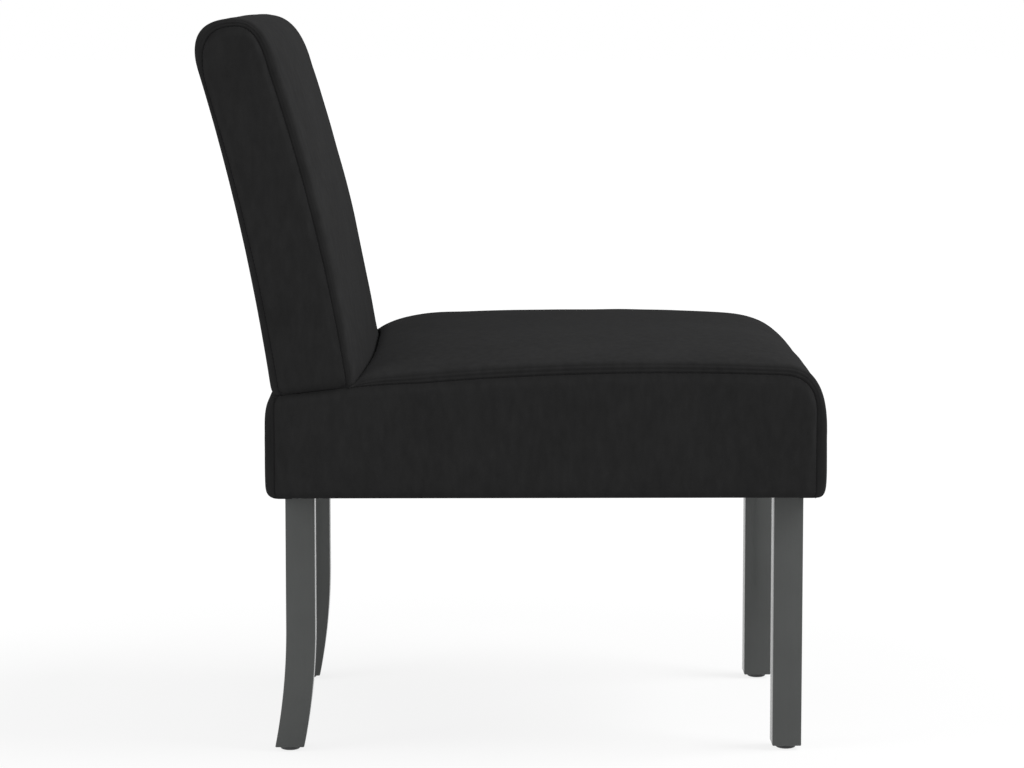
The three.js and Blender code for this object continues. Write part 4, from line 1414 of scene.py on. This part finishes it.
class CHAIR_OT_legs(bpy.types.Operator):
    """Build the painted legs with eased edges, bored for their bolt, dowel and glide"""
    bl_idname = "chair.legs"
    bl_label = "Legs"

    def execute(self, context):
        for end in ENDS:
            for side in SIDES:
                self.leg(end, side, context.scene.chair_legs)
        return {"FINISHED"}

    def leg(self, end, side, settings):
        node = f"{end}_leg_{side}"
        low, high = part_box(node)
        section = high.x - low.x
        steps, knee = (SWEEP_STEPS, settings.sweep_start) if end == "rear" else (0, low.z)
        heights = [low.z + (knee - low.z) * step / steps for step in range(steps)] + [knee, high.z]
        edge = [Vector((low.y + self.sweep(z, settings, end), z)) for z in heights]
        outline = edge + [point + Vector((section, 0)) for point in reversed(edge)]
        loops = [[Vector((x, *point)) for point in outline] for x in (low.x, high.x)]
        piece = solid(f"{end}_leg_body_{side}", *body_through(loops))
        piece.data.shade_flat()
        ease = piece.modifiers.new("Ease", "BEVEL")
        ease.width, ease.segments = settings.edge, EASE_STEPS
        ease.limit_method, ease.angle_limit = "ANGLE", LEAST_EDGE
        bake_modifiers(piece)
        bores = [
            bore(middle_of(fixing), radius_of(fixing) + BORE_PLAY,
                 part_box(fixing)[0].z - BORE_PLAY, high.z + OVERRUN)
            for fixing in fixings_of(end, side)
        ]
        nail = f"glide_{end}_{side}"
        nail_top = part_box(nail)[1].z
        bores.append(bore(middle_of(nail), NAIL_RADIUS + BORE_PLAY, low.z - OVERRUN, nail_top + BORE_PLAY))
        cut_away(piece, bores)
        middle = middle_of(node).x
        wear = []
        for vertex in piece.data.vertices:
            x, y, z = vertex.co
            across, along = abs(x - middle), abs(y - low.y - self.sweep(z, settings, end) - section / 2)
            wear.append(smooth((min(across, along) - section / 2 + 2 * settings.edge) / settings.edge))
        mark(piece, "edge", wear)
        smooth_by_angle(piece)
        belong(piece, "painted_wood", node)

    @staticmethod
    def sweep(z, settings, end):
        below = max(0.0, settings.sweep_start - z) if end == "rear" else 0.0
        return settings.sweep_radius - math.sqrt(settings.sweep_radius ** 2 - below ** 2)


# A glide's flat middle, its small rounded edge under the leg, and its nail's collar and point
GLIDE_MIDDLE = 0.003
GLIDE_SHOULDER = 0.0008
GLIDE_CORNER = 0.0003
GLIDE_CORNER_DROP = 0.0002
COLLAR_SHARE = 1.6
COLLAR_HEIGHT = 0.0006
POINT_LENGTH = 0.003
POINT_RADIUS = 0.0002
RIM_STEPS = 8
GLIDE_SIDES = 48


class CHAIR_OT_glides(bpy.types.Operator):
    """Build the moulded glides with their nails"""
    bl_idname = "chair.glides"
    bl_label = "Glides"

    def execute(self, context):
        for end in ENDS:
            for side in SIDES:
                self.glide(end, side, context.scene.chair_legs)
        return {"FINISHED"}

    @staticmethod
    def glide(end, side, settings):
        """Turned about its nail, from the middle of its foot to its point."""
        node = f"glide_{end}_{side}"
        foot, point = (corner.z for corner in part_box(node))
        radius = radius_of(node)
        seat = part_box(f"{end}_leg_{side}")[0].z - GAP
        turns = [math.pi / 2 * step / RIM_STEPS for step in range(RIM_STEPS + 1)]
        rim = [
            (radius - settings.glide_edge * (1 - math.sin(turn)),
             foot + settings.glide_rise * (1 - math.cos(turn)))
            for turn in turns
        ]
        profile = [
            (GLIDE_MIDDLE, foot), *rim, (radius, seat - GLIDE_SHOULDER),
            (radius - GLIDE_CORNER, seat - GLIDE_CORNER_DROP), (radius - GLIDE_SHOULDER, seat),
            (NAIL_RADIUS * COLLAR_SHARE, seat), (NAIL_RADIUS, seat + COLLAR_HEIGHT),
            (NAIL_RADIUS, point - POINT_LENGTH), (POINT_RADIUS, point),
        ]
        loops = [circle(middle_of(node), width, z, GLIDE_SIDES) for width, z in profile]
        piece = solid(f"glide_{end}_{side}_moulded", *body_through(loops))
        smooth_by_angle(piece)
        belong(piece, "glide_plastic", node)


# Stage


# The lamps' places and widths, what they point at, and the floor's reach, colour and white ground
LAMPS = {"key": ((-0.34, -3.02, 3.3), 2.6), "fill": ((-1.26, 3.06, 1.8), 2.2)}
LAMP_AIM = Vector((0, 0, 0.4))
FLOOR_HALF = 30
FLOOR_COLOUR = (0.82, 0.82, 0.82, 1)
WHITE = (1, 1, 1, 1)
WHITE_STRENGTH = 1.05
WHITE_SHARE = 0.8
SHADOW_REACH = 0.55
SHADOW_FADE = 0.7


class CHAIR_OT_stage(bpy.types.Operator):
    """Set the floor, the lights, the background and the camera"""
    bl_idname = "chair.stage"
    bl_label = "Stage"

    def execute(self, context):
        settings = context.scene.chair_stage
        self.camera(context, settings)
        self.floor()
        self.sky(context, settings)
        for name, (place, size) in LAMPS.items():
            self.lamp(name, Vector(place), size, getattr(settings, name))
        context.scene.view_settings.view_transform = "Standard"
        return {"FINISHED"}

    @staticmethod
    def camera(context, settings):
        camera = in_scene("camera", bpy.data.cameras.new("camera"))
        camera.data.lens = settings.lens
        camera.data.shift_y = settings.shift
        camera.location = settings.eye
        level = Vector((math.cos(settings.yaw), math.sin(settings.yaw), 0)) * math.cos(settings.pitch)
        view = level - Vector((0, 0, math.sin(settings.pitch)))
        camera.rotation_euler = view.to_track_quat("-Z", "Y").to_euler()
        context.scene.camera = camera

    @staticmethod
    def lamp(name, place, size, power):
        lamp = bpy.data.lights.new(name, "AREA")
        lamp.shape, lamp.size, lamp.energy = "DISK", size, power
        light = in_scene(name, lamp)
        light.location = place
        light.rotation_euler = (LAMP_AIM - place).to_track_quat("-Z", "Y").to_euler()

    @staticmethod
    def floor():
        """A pale floor that keeps the chair's shadow and turns to plain white away from it."""
        square = ((-1, -1), (1, -1), (1, 1), (-1, 1))
        corners = [Vector((x * FLOOR_HALF, y * FLOOR_HALF, 0)) for x, y in square]
        floor = in_scene("floor", plain_mesh("floor", corners, [(0, 1, 2, 3)]))
        look = Look("floor")
        away = look.node("ShaderNodeVectorMath", {0: look.place()}, "Value", operation="LENGTH")
        far = look.clamp((away - SHADOW_REACH) / SHADOW_FADE)
        lit = look.node("ShaderNodeBsdfDiffuse", {"Color": FLOOR_COLOUR})
        white = look.node("ShaderNodeEmission", {"Color": WHITE, "Strength": WHITE_STRENGTH})
        share = look.seen() * (WHITE_SHARE + far * (1 - WHITE_SHARE))
        mixed = look.node("ShaderNodeMixShader", {0: share, 1: lit, 2: white})
        look.node("ShaderNodeOutputMaterial", {"Surface": mixed})
        floor.data.materials.append(look.material)

    @staticmethod
    def sky(context, settings):
        world = bpy.data.worlds.new("sky")
        world.use_nodes = True
        context.scene.world = world
        sky = Nodes(world.node_tree)
        strength = settings.sky + sky.seen() * (1 - settings.sky)
        light = sky.node("ShaderNodeBackground", {"Color": WHITE, "Strength": strength})
        sky.node("ShaderNodeOutputWorld", {"Surface": light})


class CHAIR_PT_panel(bpy.types.Panel):
    """The chair's settings and the steps that build it"""
    bl_label = "Slipper Chair"
    bl_space_type = "VIEW_3D"
    bl_region_type = "UI"
    bl_category = "Chair"

    def draw(self, context):
        for group in GROUPS:
            settings = getattr(context.scene, group)
            for name in settings.bl_rna.properties.keys():
                if name not in ("rna_type", "name"):
                    self.layout.prop(settings, name)
        for step in STEPS:
            self.layout.operator(step.bl_idname)


GROUPS = {
    "chair_cover": CoverSettings,
    "chair_stitches": StitchSettings,
    "chair_underside": UndersideSettings,
    "chair_legs": LegSettings,
    "chair_finish": FinishSettings,
    "chair_stage": StageSettings,
}
STEPS = (
    CHAIR_OT_finishes, CHAIR_OT_seat_cushion, CHAIR_OT_back_cushion, CHAIR_OT_seam_stitches,
    CHAIR_OT_dust_cover, CHAIR_OT_legs, CHAIR_OT_glides, CHAIR_OT_stage,
)


def register():
    for kind in (*GROUPS.values(), *STEPS, CHAIR_PT_panel):
        bpy.utils.register_class(kind)
    for name, kind in GROUPS.items():
        setattr(bpy.types.Scene, name, PointerProperty(type=kind))


def unregister():
    for name in GROUPS:
        delattr(bpy.types.Scene, name)
    for kind in (CHAIR_PT_panel, *reversed(STEPS), *reversed(GROUPS.values())):
        bpy.utils.unregister_class(kind)


def main():
    register()
    for step in STEPS:
        group, name = step.bl_idname.split(".")
        getattr(getattr(bpy.ops, group), name)()


if __name__ == "__main__":
    main()
